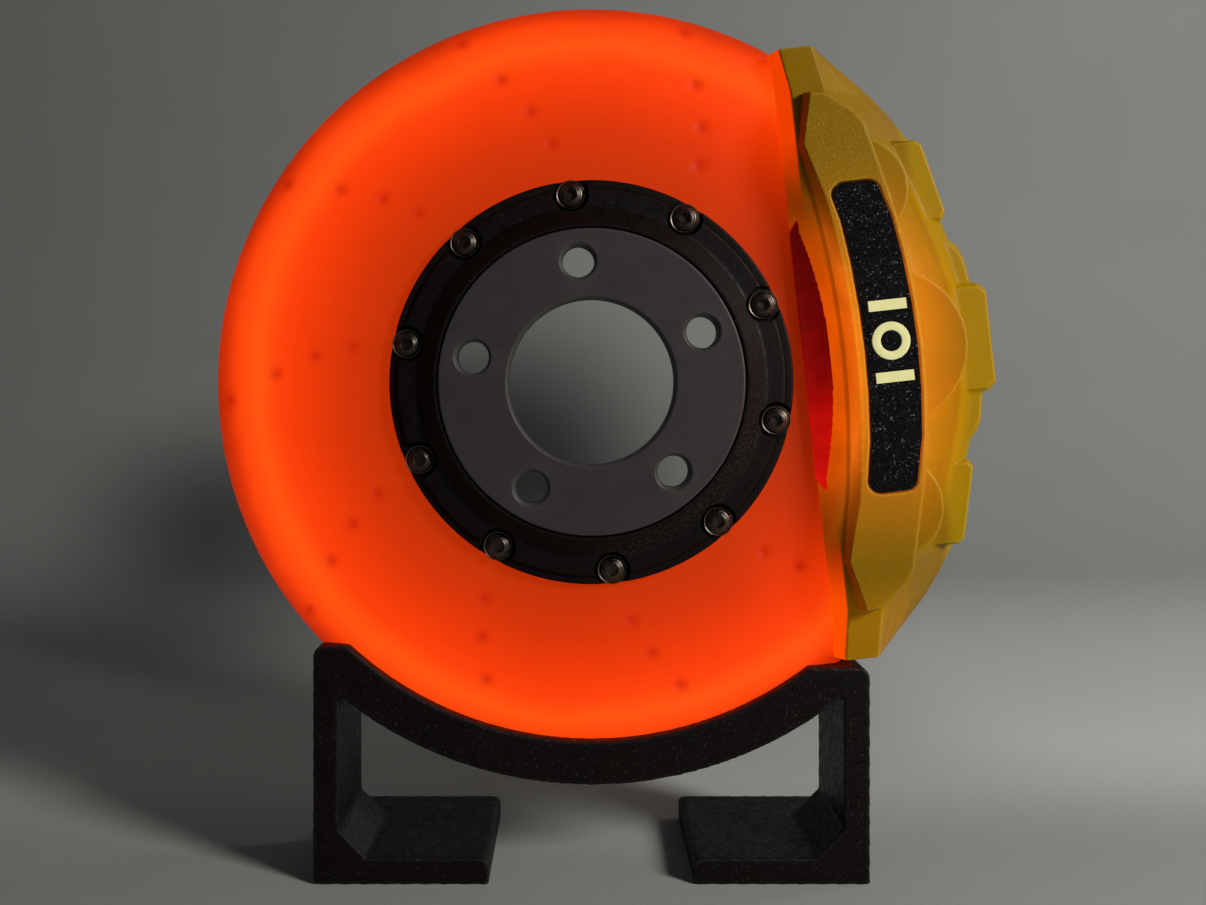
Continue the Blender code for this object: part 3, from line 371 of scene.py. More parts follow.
def black_print(name, specks=0.975, sheen=0.42, rings=False):
    """A black print with the painted sparkle of a textured bed, or with the rings of its layers."""
    finish = Finish(name, roughness=sheen, specular=0.14)
    dust = finish.noise(90, 3.0)
    base = finish.mix(dust, (0.0025, 0.0014, 0.001), (0.007, 0.0045, 0.0035))
    # Pale specks painted in as glints of the textured bed.
    speck = finish.step(finish.cells(4300), specks, 1.0)
    base = finish.mix(finish.times(speck, 0.14), base, (0.25, 0.24, 0.2))
    # The edges are painted lighter.
    pale_edges = finish.times(finish.edges(), 0.3)
    finish.set("Base Color", finish.mix(pale_edges, base, (0.04, 0.037, 0.034)))
    grain = finish.bump(finish.noise(1700, 3.0, 0.65), 0.06 * MM)
    if rings:
        x, y, _ = finish.axes()
        along = finish.from_point((0.0, 0.0))
        finish.bump(finish.layers(along, 0.5 * MM), 0.006 * MM, grain, 0.4)
        # The sloped wall's layers get a little painted sheen on the side away from the light.
        lower_right = finish.math("SUBTRACT", finish.times(x, 0.6), finish.times(y, 0.8))
        side = finish.step(lower_right, 19 * MM, 29 * MM)
        outwards = finish.step(along, 35 * MM, 33.4 * MM)
        wall = finish.times(finish.step(along, 30 * MM, 31 * MM), outwards)
        fine = finish.step(finish.layers(along, 0.42 * MM), 0.2, 0.9)
        broken = finish.step(finish.cells(3300), 0.35, 0.8)
        shine = finish.times(side, wall, fine, broken)
        painted_layer_sheen = finish.mix(finish.times(shine, 0.3), base, (0.12, 0.115, 0.11))
        finish.set("Base Color", painted_layer_sheen)
    else:
        finish.bump(finish.layers(finish.axes()[2], 0.5 * MM), 0.02 * MM, grain, 0.5)
    finish.set("Roughness", finish.remap(finish.noise(700, 2.0), 0.3, 0.7, sheen - 0.1, sheen + 0.12))
    return finish.material


def grey_print(name):
    """The hub's smooth dark grey."""
    finish = Finish(name, roughness=0.5, specular=0.35)
    cloud = finish.noise(45, 3.0)
    base = finish.mix(cloud, (0.026, 0.0225, 0.022), (0.034, 0.0295, 0.0285))
    # The edges are painted lighter.
    pale_edges = finish.times(finish.edges(), 0.6)
    finish.set("Base Color", finish.mix(pale_edges, base, (0.12, 0.11, 0.105)))
    finish.bump(finish.noise(1400, 2.0), 0.015 * MM)
    finish.set("Roughness", finish.remap(finish.noise(260, 3.0), 0.3, 0.7, 0.44, 0.58))
    return finish.material


def steel(name, tone=(0.12, 0.095, 0.075)):
    """Dark zinc-plated steel, finely scratched."""
    finish = Finish(name, roughness=0.25, metallic=1.0)
    stain = finish.noise(700, 3.0)
    dark = tuple(value * 0.6 for value in tone)
    finish.set("Base Color", finish.mix(stain, dark, tone))
    finish.bump(finish.noise(2500, 2.0, 0.6, (1.0, 1.0, 0.2)), 0.01 * MM)
    finish.set("Roughness", finish.remap(finish.noise(1500, 2.0), 0.3, 0.7, 0.26, 0.44))
    return finish.material


def glitter(name):
    """The badge panel: black with glitter in it."""
    finish = Finish(name, roughness=0.3, specular=0.12)
    flake = finish.cells(5200)
    shown = finish.step(flake, 0.94, 0.995)
    bright = finish.remap(finish.cells(2300), 0.3, 1.0, 0.0, 0.4)
    tint = finish.mix(finish.cells(3700), (0.75, 0.8, 0.9), (0.95, 0.85, 0.65))
    base = finish.mix(finish.noise(80), (0.0015, 0.001, 0.001), (0.004, 0.003, 0.003))
    finish.set("Base Color", finish.mix(finish.times(shown, bright), base, tint))
    finish.bump(flake, 0.03 * MM)
    finish.set("Roughness", finish.remap(flake, 0.0, 1.0, 0.2, 0.5))
    return finish.material


def cream_print(name):
    """The pale marks on the badge."""
    finish = Finish(name, roughness=0.5, specular=0.3)
    finish.set("Base Color", finish.mix(finish.noise(500, 3.0), (0.8, 0.76, 0.32), (0.95, 0.92, 0.46)))
    finish.bump(finish.noise(1800, 2.0), 0.02 * MM)
    finish.set("Roughness", finish.remap(finish.noise(900), 0.3, 0.7, 0.42, 0.58))
    # A faint painted glow on the marks.
    finish.set("Emission Color", (1.0, 0.93, 0.45))
    finish.shader.inputs["Emission Strength"].default_value = 0.12
    return finish.material


def red_lens(name):
    """The friction pads: clear red, with a painted glow that grows towards their lower end."""
    finish = Finish(name, roughness=0.25, specular=0.15)
    _, y, _ = finish.axes()
    finish.set("Base Color", finish.mix(finish.noise(120), (0.05, 0.001, 0.001), (0.09, 0.003, 0.002)))
    down = finish.remap(y, 24 * MM, -24 * MM, 0.0, 1.0)
    curl = finish.math("ADD", down, finish.remap(finish.noise(55, 1.0), 0.3, 0.7, -0.12, 0.12))
    glow = finish.ramp(
        curl,
        [
            (0.0, srgb(84, 4, 1)),
            (0.5, srgb(102, 4, 3)),
            (0.72, srgb(158, 6, 3)),
            (1.0, srgb(208, 14, 6)),
        ],
    )
    finish.set("Emission Color", glow)
    finish.set("Emission Strength", finish.remap(finish.noise(200), 0.3, 0.7, 0.85, 1.1))
    finish.bump(finish.noise(700, 2.0), 0.03 * MM)
    finish.set("Roughness", finish.remap(finish.noise(400), 0.3, 0.7, 0.2, 0.34))
    return finish.material


def plain_print(name, dark, light, roughness=0.5, glow=0.0):
    """A small or hidden piece in one colour, with a printed or moulded grain."""
    finish = Finish(name, roughness=roughness, specular=0.4)
    finish.set("Base Color", finish.mix(finish.noise(150, 3.0), dark, light))
    finish.bump(finish.noise(1300, 2.0), 0.02 * MM)
    finish.set("Roughness", finish.remap(finish.noise(500), 0.3, 0.7, roughness - 0.07, roughness + 0.07))
    finish.set("Emission Color", light)
    finish.shader.inputs["Emission Strength"].default_value = glow
    return finish.material


# ---------------------------------------------------------------- shapes


def polar(radius, angle):
    """The point at a radius and an angle in degrees, counted anticlockwise from x."""
    return radius * cos(radians(angle)), radius * sin(radians(angle))


def around(radius, count):
    """Places evenly round a circle, from the top anticlockwise."""
    return [polar(radius, 90 + 360 * number / count) for number in range(count)]


def arc(centre, radius, start, end, steps):
    """Points along an arc, from one angle in degrees to another."""
    points = []
    for step in range(steps + 1):
        x, y = polar(radius, start + (end - start) * step / steps)
        points.append((centre[0] + x, centre[1] + y))
    return points


def between(first, last, steps):
    """Points along a straight line, without its last point."""
    points = []
    for step in range(steps):
        share = step / steps
        points.append(tuple(a + (b - a) * share for a, b in zip(first, last)))
    return points


def rectangle(inner, outer, bottom, top):
    """The square profile of a ring."""
    return [(outer, top), (outer, bottom), (inner, bottom), (inner, top)]


def turned_mesh(name, profile, steps):
    """A closed profile of (radius, height), its outer side listed downwards, turned about z."""
    bm = bmesh.new()
    rows = []
    for step in range(steps):
        angle = 2 * pi * step / steps
        row = [bm.verts.new((radius * cos(angle), radius * sin(angle), z)) for radius, z in profile]
        rows.append(row)
    for step in range(steps):
        here = rows[step]
        after = rows[(step + 1) % steps]
        for index in range(len(profile)):
            below = (index + 1) % len(profile)
            bm.faces.new((here[index], here[below], after[below], after[index]))
    if min(radius for radius, _ in profile) < 0.001 * MM:
        bmesh.ops.remove_doubles(bm, verts=bm.verts, dist=0.001 * MM)
    mesh = bpy.data.meshes.new(name)
    bm.to_mesh(mesh)
    bm.free()
    return mesh


def cylinder_mesh(radius, bottom, top, place=(0, 0), top_radius=None, segments=40):
    """An upright cylinder or, with a top radius of its own, a cone."""
    bm = bmesh.new()
    bmesh.ops.create_cone(
        bm,
        cap_ends=True,
        segments=segments,
        radius1=radius,
        radius2=radius if top_radius is None else top_radius,
        depth=top - bottom,
    )
    bmesh.ops.translate(bm, verts=bm.verts, vec=(place[0], place[1], (top + bottom) / 2))
    mesh = bpy.data.meshes.new("cylinder")
    bm.to_mesh(mesh)
    bm.free()
    return mesh


def box_mesh(low, high):
    """A box between two corners."""
    bm = bmesh.new()
    bmesh.ops.create_cube(bm, size=1)
    bmesh.ops.scale(bm, verts=bm.verts, vec=[b - a for a, b in zip(low, high)])
    bmesh.ops.translate(bm, verts=bm.verts, vec=[(a + b) / 2 for a, b in zip(low, high)])
    mesh = bpy.data.meshes.new("box")
    bm.to_mesh(mesh)
    bm.free()
    return mesh


def joined(meshes):
    """Several closed shapes in one mesh."""
    bm = bmesh.new()
    for mesh in meshes:
        bm.from_mesh(mesh)
        bpy.data.meshes.remove(mesh)
    whole = bpy.data.meshes.new("joined")
    bm.to_mesh(whole)
    bm.free()
    return whole


def with_modifiers(mesh, name, build):
    """The mesh that comes out of a stack of modifiers, which build adds to a passing object."""
    thing = bpy.data.objects.new(name, mesh)
    bpy.context.scene.collection.objects.link(thing)
    build(thing)
    graph = bpy.context.evaluated_depsgraph_get()
    result = bpy.data.meshes.new_from_object(thing.evaluated_get(graph))
    result.name = name
    bpy.data.objects.remove(thing, do_unlink=True)
    return result


def cut(mesh, tool_mesh):
    """A mesh with a tool taken out of it."""
    tool = bpy.data.objects.new("tool", tool_mesh)
    bpy.context.scene.collection.objects.link(tool)

    def build(thing):
        modifier = thing.modifiers.new("cut", "BOOLEAN")
        modifier.operation = "DIFFERENCE"
        modifier.object = tool

    result = with_modifiers(mesh, mesh.name, build)
    bpy.data.objects.remove(tool, do_unlink=True)
    return result


def holes(places, radius, bottom, top, top_radius=None, segments=40):
    """Equal cylinders or cones at several places, as one tool."""
    return joined([cylinder_mesh(radius, bottom, top, place, top_radius, segments) for place in places])


def bevelled(mesh, width, segments=3, angle=30):
    """A mesh with its sharp edges rounded over."""

    def build(thing):
        bevel = thing.modifiers.new("round", "BEVEL")
        bevel.width = width
        bevel.segments = segments
        bevel.limit_method = "ANGLE"
        bevel.angle_limit = radians(angle)
        bevel.use_clamp_overlap = True
        bevel.harden_normals = False

    return with_modifiers(mesh, mesh.name, build)


def local_copy(node):
    """The shape of a CAD node in the lamp's frame, its flat faces whole again."""
    mesh = frame["nodes"][node].data.copy()
    mesh.materials.clear()
    mesh.transform(LAMP.inverted())
    bm = bmesh.new()
    bm.from_mesh(mesh)
    bmesh.ops.remove_doubles(bm, verts=bm.verts, dist=0.002 * MM)
    bmesh.ops.dissolve_limit(bm, angle_limit=radians(0.5), verts=bm.verts, edges=bm.edges)
    bm.to_mesh(mesh)
    bm.free()
    return mesh


def soft_copy(node, voxel, rounds):
    """The shape of a CAD node with a fine even skin, its edges softened as on a print."""
    mesh = local_copy(node)

    def build(thing):
        skin = thing.modifiers.new("skin", "REMESH")
        skin.mode = "VOXEL"
        skin.voxel_size = voxel
        soften = thing.modifiers.new("soften", "SMOOTH")
        soften.factor = 0.5
        soften.iterations = rounds

    return with_modifiers(mesh, node + "_soft", build)


def pocket_mesh(angle, half_size, bottom, top):
    """A box between two screws, its half sizes counted along the ring and across it."""
    along, across = half_size
    mesh = box_mesh((-along, POCKET_RADIUS - across, bottom), (along, POCKET_RADIUS + across, top))
    mesh.transform(Matrix.Rotation(radians(angle - 90), 4, "Z"))
    return mesh


def show(name, mesh, material, nodes, body="lamp", sharp=None, place=(0, 0, 0)):
    """Put a fine piece, made in the lamp's frame, in the scene in place of CAD nodes."""
    mesh = mesh.copy()
    mesh.transform(LAMP @ Matrix.Translation(place))
    mesh.materials.append(material)
    mesh.shade_smooth()
    if sharp:
        mesh.set_sharp_from_angle(angle=radians(sharp))
    piece = bpy.data.objects.new(name, mesh)
    bpy.context.scene.collection.objects.link(piece)
    if sharp:
        level = piece.modifiers.new("level", "WEIGHTED_NORMAL")
        level.keep_sharp = True
        level.weight = 100
    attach(piece, body)
    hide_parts(*nodes)
    return piece


def dress(node, material):
    """Give a CAD node that keeps its own shape a finish."""
    node_object = frame["nodes"][node]
    if not node_object.material_slots:
        node_object.data.materials.append(material)
    for slot in node_object.material_slots:
        slot.material = material


# ---------------------------------------------------------------- disc


def dimple_places():
    """Rows of blind dimples, each row bending back as it goes outwards."""
    places = []
    for row in range(DIMPLE_ROWS):
        for share, lag in zip(DIMPLE_ROW_RADII, DIMPLE_ROW_LAGS):
            places.append(polar(share * DISC_RADIUS, DIMPLE_FIRST_ANGLE + lag + 360 / DIMPLE_ROWS * row))
    return places


def shell_side(inset, face_steps, round_steps):
    """One side of a shell's section, from its bore over the face and round the rim to the seam."""
    face = DISC_HALF_THICKNESS - inset
    round_centre = (DISC_RADIUS - RIM_ROUND, DISC_HALF_THICKNESS - RIM_ROUND)
    points = between((SHELL_BORE, face), (round_centre[0], face), face_steps)
    points += arc(round_centre, RIM_ROUND - inset, 90, 0, round_steps)
    points.append((DISC_RADIUS - inset, SEAM))
    return points


def disc_shell_mesh(name, side):
    """One half of the disc with soft dimples: side 1 is the front and side -1 the rear."""
    outer = shell_side(0.0, 60, 14)
    inner = shell_side(SHELL_WALL, 6, 6)
    mesh = turned_mesh(name, outer + list(reversed(inner)), 420)
    places = np.zeros(len(mesh.vertices) * 3)
    mesh.vertices.foreach_get("co", places)
    places = places.reshape(-1, 3)
    outside = np.arange(len(mesh.vertices)) % (len(outer) + len(inner)) < len(outer)
    hollow = np.zeros(len(places))
    for x, y in dimple_places():
        away = (places[:, 0] - x) ** 2 + (places[:, 1] - y) ** 2
        hollow += np.exp(-away / DIMPLE_SPREAD**2)
    hollow = hollow * outside * (places[:, 2] > DISC_HALF_THICKNESS - RIM_ROUND)
    places[:, 2] -= hollow * DIMPLE_DEPTH
    mesh.vertices.foreach_set("co", places.ravel())
    mark = mesh.attributes.new("dimple", "FLOAT", "POINT")
    mark.data.foreach_set("value", hollow.astype(np.float32))
    if side < 0:
        mesh.transform(Matrix.Scale(-1, 4, (0, 0, 1)))
        mesh.flip_normals()
    mesh.update()
    return mesh


def make_disc():
    """The two glowing shells."""
    glowing = glowing_print("glowing_print")
    shells = []
    for word, side in (("front", 1), ("rear", -1)):
        name = "disc_" + word
        mesh = disc_shell_mesh(name, side)
        places = around(SCREW_CIRCLE, 10) + list(CALIPER_SCREWS.values())
        mesh = cut(mesh, holes(places, SCREW_HOLE, -12 * MM, 12 * MM, segments=24))
        if side < 0:
            mesh = cut(mesh, pocket_mesh(INLET_ANGLE, (4.9 * MM, 1.9 * MM), -12 * MM, -7 * MM))
            button_place = polar(POCKET_RADIUS, BUTTON_ANGLE)
            mesh = cut(mesh, cylinder_mesh(3.5 * MM, -12 * MM, -7 * MM, button_place))
        node = "disc_" + word + "_shell"
        shells.append(show(name, mesh, glowing, [node], sharp=40))
    return shells


# ---------------------------------------------------------------- hat and hub


def make_hat():
    """The black ring with a pocket for each screw."""
    slope_start = (HUB_RADIUS + 0.9 * MM, HUB_FRONT - 0.3 * MM)
    profile = [
        (HUB_RADIUS + 0.5 * MM, HUB_FRONT - 0.25 * MM),
        slope_start,
        *arc((34.4 * MM, 14.7 * MM), 1.6 * MM, 238, 270, 5),
        (36.9 * MM, 12.95 * MM),
        *arc((37.2 * MM, 12.55 * MM), 0.4 * MM, 80, 10, 4),
        (37.9 * MM, 12.1 * MM),
        *arc((HAT_RADIUS - 0.5 * MM, 11.6 * MM), 0.5 * MM, 90, 0, 5),
        (HAT_RADIUS, HAT_BACK),
        (BORE, HAT_BACK),
        (BORE, HUB_BACK - 0.3 * MM),
        (HUB_RADIUS + 0.3 * MM, HUB_BACK - 0.3 * MM),
        (HUB_RADIUS + 0.3 * MM, HUB_FRONT - 0.3 * MM),
    ]
    mesh = turned_mesh("hat", profile, 240)
    mesh = cut(mesh, holes(around(SCREW_CIRCLE, 10), SCREW_POCKET, SCREW_SEAT, 18 * MM))
    mesh = cut(mesh, holes(around(SCREW_CIRCLE, 10), SCREW_HOLE, 9 * MM, 14 * MM, segments=24))
    mesh = cut(mesh, holes(around(LUG_CIRCLE, 5), LUG_RADIUS, 9 * MM, 15 * MM))
    finish = black_print("black_ring", 0.998, 0.5, rings=True)
    show("hat", mesh, finish, ["hat_ring"], sharp=28)


def make_hub():
    """The grey face with its chamfered bore and lug holes."""
    edge = 0.7 * MM
    profile = [
        *arc((HUB_RADIUS - 0.45 * MM, HUB_FRONT - 0.45 * MM), 0.45 * MM, 90, 0, 5),
        (HUB_RADIUS, HUB_BACK),
        (BORE, HUB_BACK),
        (BORE, HUB_FRONT - edge),
        *arc((BORE + edge, HUB_FRONT - edge), edge, 180, 90, 5),
    ]
    mesh = turned_mesh("hub", profile, 240)
    round_in = [
        (0, 18 * MM),
        (LUG_RADIUS + 0.9 * MM, 18 * MM),
        (LUG_RADIUS + 0.62 * MM, HUB_FRONT),
        (LUG_RADIUS + 0.35 * MM, HUB_FRONT - 0.14 * MM),
        (LUG_RADIUS + 0.1 * MM, HUB_FRONT - 0.4 * MM),
        (LUG_RADIUS, HUB_FRONT - 0.75 * MM),
        (LUG_RADIUS, 13 * MM),
        (0, 13 * MM),
    ]
    for x, y in around(LUG_CIRCLE, 5):
        tool = turned_mesh("lug", list(reversed(round_in)), 58)
        tool.flip_normals()
        tool.transform(Matrix.Translation((x, y, 0)) @ Matrix.Rotation(0.037, 4, "Z"))
        mesh = cut(mesh, tool)
    show("hub", mesh, grey_print("grey_print"), ["hub_face"], sharp=25)


def screw_mesh(length):
    """A button head screw from its seat at zero: turned dome, hex socket and a threaded shank."""
    dome = []
    for radius, height in arc((0, HEAD_HEIGHT - 3.4 * MM), 3.4 * MM, 90, 42, 40):
        turned = 0.035 * MM * sin(2 * pi * radius / (0.42 * MM))
        if height > 0.5 * MM and radius < HEAD_RADIUS - 0.12 * MM:
            dome.append((radius, height + turned))
    crests = []
    pitch = 0.8 * MM
    for number in range(1, int(length / pitch)):
        crests += [(1.5 * MM, -number * pitch), (1.25 * MM, -(number + 0.5) * pitch)]
    edge = [(HEAD_RADIUS - 0.1 * MM, 0.62 * MM), (HEAD_RADIUS, 0.55 * MM), (HEAD_RADIUS, 0.1 * MM)]
    profile = dome + edge + [(HEAD_RADIUS - 0.1 * MM, 0.0)]
    profile += [(1.5 * MM, 0.0)] + crests + [(1.2 * MM, -length), (0.0, -length)]
    mesh = turned_mesh("screw", profile, 48)
    key = cylinder_mesh(1.15 * MM, 0.4 * MM, 3 * MM, segments=6)
    mesh = cut(mesh, key)
    return cut(mesh, cylinder_mesh(1.1 * MM, 1.25 * MM, 2.0 * MM, top_radius=1.85 * MM))


def make_screws():
    """The hat's ten screws and the caliper's two."""
    metal = steel("screw_steel")
    long = screw_mesh(HAT_SCREW_LENGTH)
    for number, place in enumerate(around(SCREW_CIRCLE, 10), 1):
        word = "%02d" % number
        where = (*place, SCREW_SEAT)
        show("screw_" + word, long, metal, ["hat_screw_" + word], sharp=35, place=where)
    for word, place in CALIPER_SCREWS.items():
        node = "caliper_screw_" + word
        where = (*place, CALIPER_SCREW_SEAT)
        clamp = screw_mesh(CALIPER_SCREW_LENGTH)
        show("clamp_screw_" + word, clamp, metal, [node], sharp=35, place=where)
        dress("caliper_nut_" + word, metal)


# ---------------------------------------------------------------- rear


def make_rear_ring():
    """The ring at the rear, with the ways out for the inlet and the button."""
    soft = 0.8 * MM
    profile = [
        (HAT_RADIUS, COVER_FRONT),
        *arc((HAT_RADIUS - soft, COVER_BACK + soft), soft, 0, -90, 5),
        *arc((WELL_RADIUS + soft, COVER_BACK + soft), soft, -90, -180, 5),
        (WELL_RADIUS, COVER_FRONT),
    ]
    mesh = turned_mesh("cover", profile, 240)
    mesh = cut(mesh, holes(around(SCREW_CIRCLE, 10), 1.6 * MM, -14.2 * MM, -9 * MM, segments=24))
    slot = pocket_mesh(INLET_ANGLE, (4.8 * MM, 1.9 * MM), -16 * MM, -9 * MM)
    mesh = cut(mesh, bevelled(slot, 1.2 * MM, 5))
    place = polar(POCKET_RADIUS, BUTTON_ANGLE)
    mesh = cut(mesh, cylinder_mesh(BUTTON_RADIUS + 0.3 * MM, -16 * MM, -9 * MM, place))
    show("rear_ring", mesh, black_print("black_cover", 0.985, 0.5), ["rear_cover"], sharp=28)


def make_drum():
    """The white drum that carries the LED tape, seen from the rear as the well's wall."""
    half = DRUM_HALF_WIDTH
    profile = [(DRUM_RADIUS, half), (DRUM_RADIUS, -half), (WELL_RADIUS, -half), (WELL_RADIUS, half)]
    mesh = turned_mesh("drum", profile, 240)
    mesh = cut(mesh, turned_mesh("groove", rectangle(31.9 * MM, 34.2 * MM, -9.1 * MM, -2.8 * MM), 240))
    mesh = cut(mesh, pocket_mesh(INLET_ANGLE, (8.4 * MM, 2.3 * MM), -12 * MM, -0.5 * MM))
    mesh = cut(mesh, pocket_mesh(BUTTON_ANGLE, (3.0 * MM, 3.0 * MM), -12 * MM, -1.7 * MM))
    mesh = cut(mesh, holes(around(SCREW_CIRCLE, 10), SCREW_HOLE, -12 * MM, 12 * MM, segments=24))
    white = plain_print("white_print", (0.6, 0.58, 0.53), (0.8, 0.78, 0.73))
    show("drum", mesh, white, ["core_drum"], sharp=28)


def make_button():
    """The button's dished cap on its flanged stem."""
    soft = 0.5 * MM
    profile = [
        (0, -5.5 * MM),
        (0.9 * MM, -5.5 * MM),
        (0.9 * MM, -9.4 * MM),
        (BUTTON_RADIUS + 0.7 * MM, -9.4 * MM),
        (BUTTON_RADIUS + 0.7 * MM, -10.0 * MM),
        (BUTTON_RADIUS, -10.0 * MM),
        *arc((BUTTON_RADIUS - soft, -16.4 * MM), soft, 0, -90, 5),
        *arc((0, -25.6 * MM), 9.0 * MM, 78, 90, 5),
    ]
    mesh = turned_mesh("button", profile, 64)
    finish = plain_print("button_print", (0.02, 0.02, 0.021), (0.035, 0.034, 0.034), 0.38)
    place = (*polar(POCKET_RADIUS, BUTTON_ANGLE), 0)
    show("button_cap", mesh, finish, ["power_button"], "button", sharp=30, place=place)


def dress_inside():
    """The pieces inside and the inlet keep their CAD shapes."""
    dress("led_tape", plain_print("tape", (0.8, 0.7, 0.4), (0.95, 0.9, 0.7), 0.35, glow=0.6))
    dress("driver_board", plain_print("board", (0.01, 0.07, 0.03), (0.02, 0.13, 0.05), 0.35))
    dress("switch_body", plain_print("switch", (0.01, 0.01, 0.01), (0.03, 0.03, 0.03), 0.4))
    dress("usb_inlet", steel("inlet_steel", (0.62, 0.6, 0.57)))
    lead = plain_print("lead", (0.35, 0.01, 0.01), (0.5, 0.03, 0.02), 0.4)
    dress("lead_to_switch", lead)
    dress("lead_to_tape", lead)


# ---------------------------------------------------------------- caliper


def make_caliper():
    """The caliper's halves and its raised plate, with softened edges."""
    smooth = yellow_print("yellow_print", False)
    textured = yellow_print("yellow_textured", True)
    for word in ("front", "rear"):
        mesh = soft_copy("caliper_" + word, 0.3 * MM, 4)
        show("caliper_half_" + word, mesh, smooth, ["caliper_" + word])
    mesh = soft_copy("caliper_plate", 0.24 * MM, 3)
    show("caliper_cover", mesh, textured, ["caliper_plate"])


def make_badge():
    """The glitter panel and the plain marks let into it."""
    cream = cream_print("cream_print")
    dress("badge_panel", glitter("glitter"))
    for number in (1, 2):
        dress("badge_bar_%d" % number, cream)
    soft = 0.08 * MM
    top = BADGE_FACE
    inner, outer, floor = 2.0 * MM, 3.6 * MM, top - 0.4 * MM
    profile = [
        *arc((outer - soft, top - soft), soft, 90, 0, 3),
        (outer, floor),
        (inner, floor),
        *arc((inner + soft, top - soft), soft, 180, 90, 3),
    ]
    mesh = turned_mesh("mark", profile, 96)
    show("badge_mark", mesh, cream, ["badge_ring"], sharp=35, place=(*RING_PLACE, 0))


def make_pads():
    """The pads seen under the caliper's arch."""
    lens = red_lens("red_lens")
    for word in ("front", "rear"):
        mesh = bevelled(local_copy("pad_" + word), 0.25 * MM)
        show("lens_" + word, mesh, lens, ["pad_" + word], sharp=35)


# ---------------------------------------------------------------- cradle


def make_cradle():
    """The black cradle, its edges just broken."""
    mesh = soft_copy("cradle_stand", 0.42 * MM, 3)
    finish = black_print("black_bed", 0.96, 0.48)
    show("cradle", mesh, finish, ["cradle_stand"], "stand")


# ---------------------------------------------------------------- studio


def paper_finish():
    """Matt paper with painted shadows behind the lamp, to its left and in front of it, and painted light
    that makes it paler on the right.
    """
    paper = Finish("paper", roughness=0.8, specular=0.15)
    x, y, z = paper.axes()
    # Painted shadows: to the lamp's left, a round one behind it and a lighter one in front of it.
    beyond = paper.math("ADD", paper.math("SUBTRACT", x, paper.times(z, 0.3)), 0.15)
    left = paper.times(
        paper.step(beyond, -0.06, 0.08),
        paper.step(x, 0.0, -0.25),
        paper.step(z, -0.08, -0.26),
        paper.step(y, 0.04, -0.06),
        0.8,
    )
    round_shade = paper.step(paper.from_point((-0.07, -0.07)), 0.19, 0.04)
    behind = paper.times(round_shade, paper.step(z, -0.4, -0.6), 0.95)
    in_front = paper.times(paper.step(z, -0.06, 0.0), 0.3)
    shade = paper.math("MAXIMUM", paper.math("MAXIMUM", left, behind), in_front)
    # A painted pool of light makes the paper paler on the right.
    right = paper.times(
        paper.step(x, 0.04, 0.12),
        paper.step(z, -0.5, -0.2),
        paper.step(z, -0.02, -0.1),
        0.8,
    )
    tone = paper.mix(paper.noise(9, 3.0), (0.6, 0.61, 0.585), (0.66, 0.67, 0.64))
    tone = paper.mix(right, tone, (0.9, 0.9, 0.87))
    paper.set("Base Color", paper.mix(shade, tone, (0.05, 0.047, 0.045)))
    paper.bump(paper.noise(700, 2.0), 0.05 * MM)
    return paper.material


def make_floor():
    """A pale floor that sweeps up into a backdrop, far enough back to walk round the lamp."""
    half_width = 1.6
    front = -1.2
    turn_start = 0.42
    turn_radius = 0.45
    line = [(front, 0.0), (-0.6, 0.0), (0.0, 0.0), (turn_start, 0.0)]
    line += arc((turn_start, turn_radius), turn_radius, -88, 0, 24)
    line.append((turn_start + turn_radius, 1.8))
    bm = bmesh.new()
    rows = [[bm.verts.new((x, y, z)) for x in (-half_width, half_width)] for y, z in line]
    for near, far in zip(rows, rows[1:]):
        bm.faces.new((near[0], near[1], far[1], far[0]))
    mesh = bpy.data.meshes.new("floor")
    bm.to_mesh(mesh)
    bm.free()
    mesh.shade_smooth()
    floor = bpy.data.objects.new("floor", mesh)
    bpy.context.scene.collection.objects.link(floor)
    mesh.materials.append(paper_finish())
    return floor


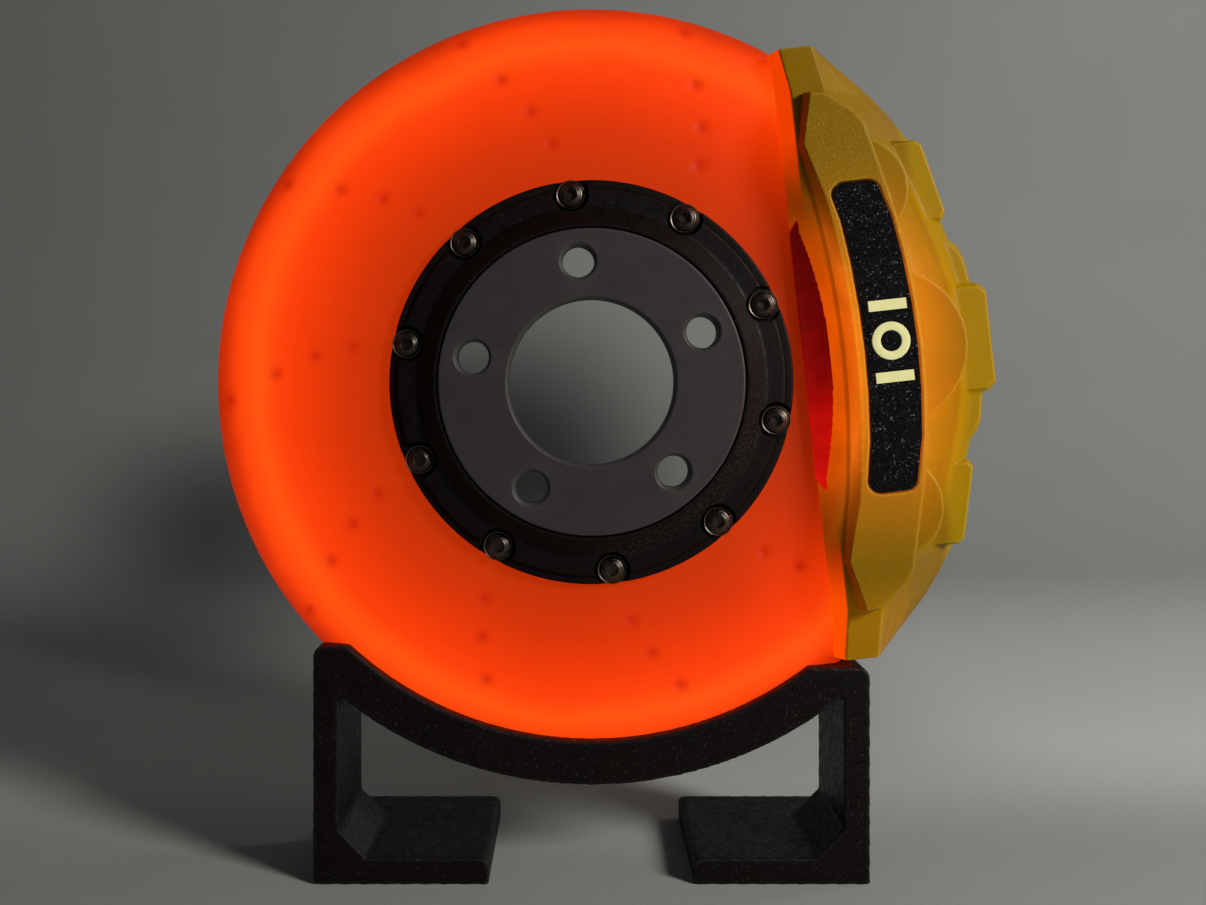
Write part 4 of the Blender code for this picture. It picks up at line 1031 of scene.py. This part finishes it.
def add_light(name, place, target, size, power, colour=(1, 1, 1)):
    """A soft area light aimed at a point."""
    data = bpy.data.lights.new(name, "AREA")
    data.shape = "DISK"
    data.size = size
    data.energy = power
    data.color = colour
    light = bpy.data.objects.new(name, data)
    bpy.context.scene.collection.objects.link(light)
    light.location = place
    light.rotation_euler = (Vector(target) - Vector(place)).to_track_quat("-Z", "Y").to_euler()
    light.visible_camera = False
    return light


def make_studio():
    """A soft key light from the upper right, a weak fill and a dim room."""
    add_light("key", (0.43, -0.38, 0.3), (0.06, 0.0, 0.03), 0.17, 2.7, (1.0, 0.985, 0.96))
    add_light("fill", (-0.5, -0.6, 0.5), AXIS, 0.6, 0.15, (0.95, 0.98, 1.0))
    add_light("wall", (0.7, 0.25, 0.6), (0.35, 0.87, 0.2), 0.3, 1.0)
    world = bpy.data.worlds.new("room")
    bpy.context.scene.world = world
    world.use_nodes = True
    world.node_tree.nodes["Background"].inputs["Color"].default_value = (0.016, 0.0163, 0.016, 1.0)
    world.node_tree.nodes["Background"].inputs["Strength"].default_value = 1.0


def make_camera():
    """A close, level camera a little left of the lamp's middle, its view shifted down and right."""
    data = bpy.data.cameras.new("camera")
    data.lens = 38.45
    data.sensor_width = 36.0
    data.clip_start = 0.01
    camera = bpy.data.objects.new("camera", data)
    bpy.context.scene.collection.objects.link(camera)
    camera.location = AXIS + Vector((-3.0 * MM, -262 * MM, -2.5 * MM))
    camera.rotation_euler = (radians(90), 0.0, 0.0)
    data.shift_x = 0.0224
    data.shift_y = -0.0477
    bpy.context.scene.camera = camera


def light_only(sources, receivers):
    """Let glowing pieces light the lamp and its cradle, but not the room."""
    lit = bpy.data.collections.new("lit_by_disc")
    for piece in receivers:
        lit.objects.link(piece)
    for source in sources:
        source.light_linking.receiver_collection = lit


# ---------------------------------------------------------------- assembly

make_camera()
make_studio()
make_floor()
disc_shells = make_disc()
make_hat()
make_hub()
make_screws()
make_rear_ring()
make_drum()
make_button()
dress_inside()
make_caliper()
make_badge()
make_pads()
make_cradle()

meshes = [thing for thing in bpy.data.objects if thing.type == "MESH" and thing.name != "floor"]
light_only(disc_shells, meshes)
bpy.context.scene.view_settings.view_transform = "Standard"
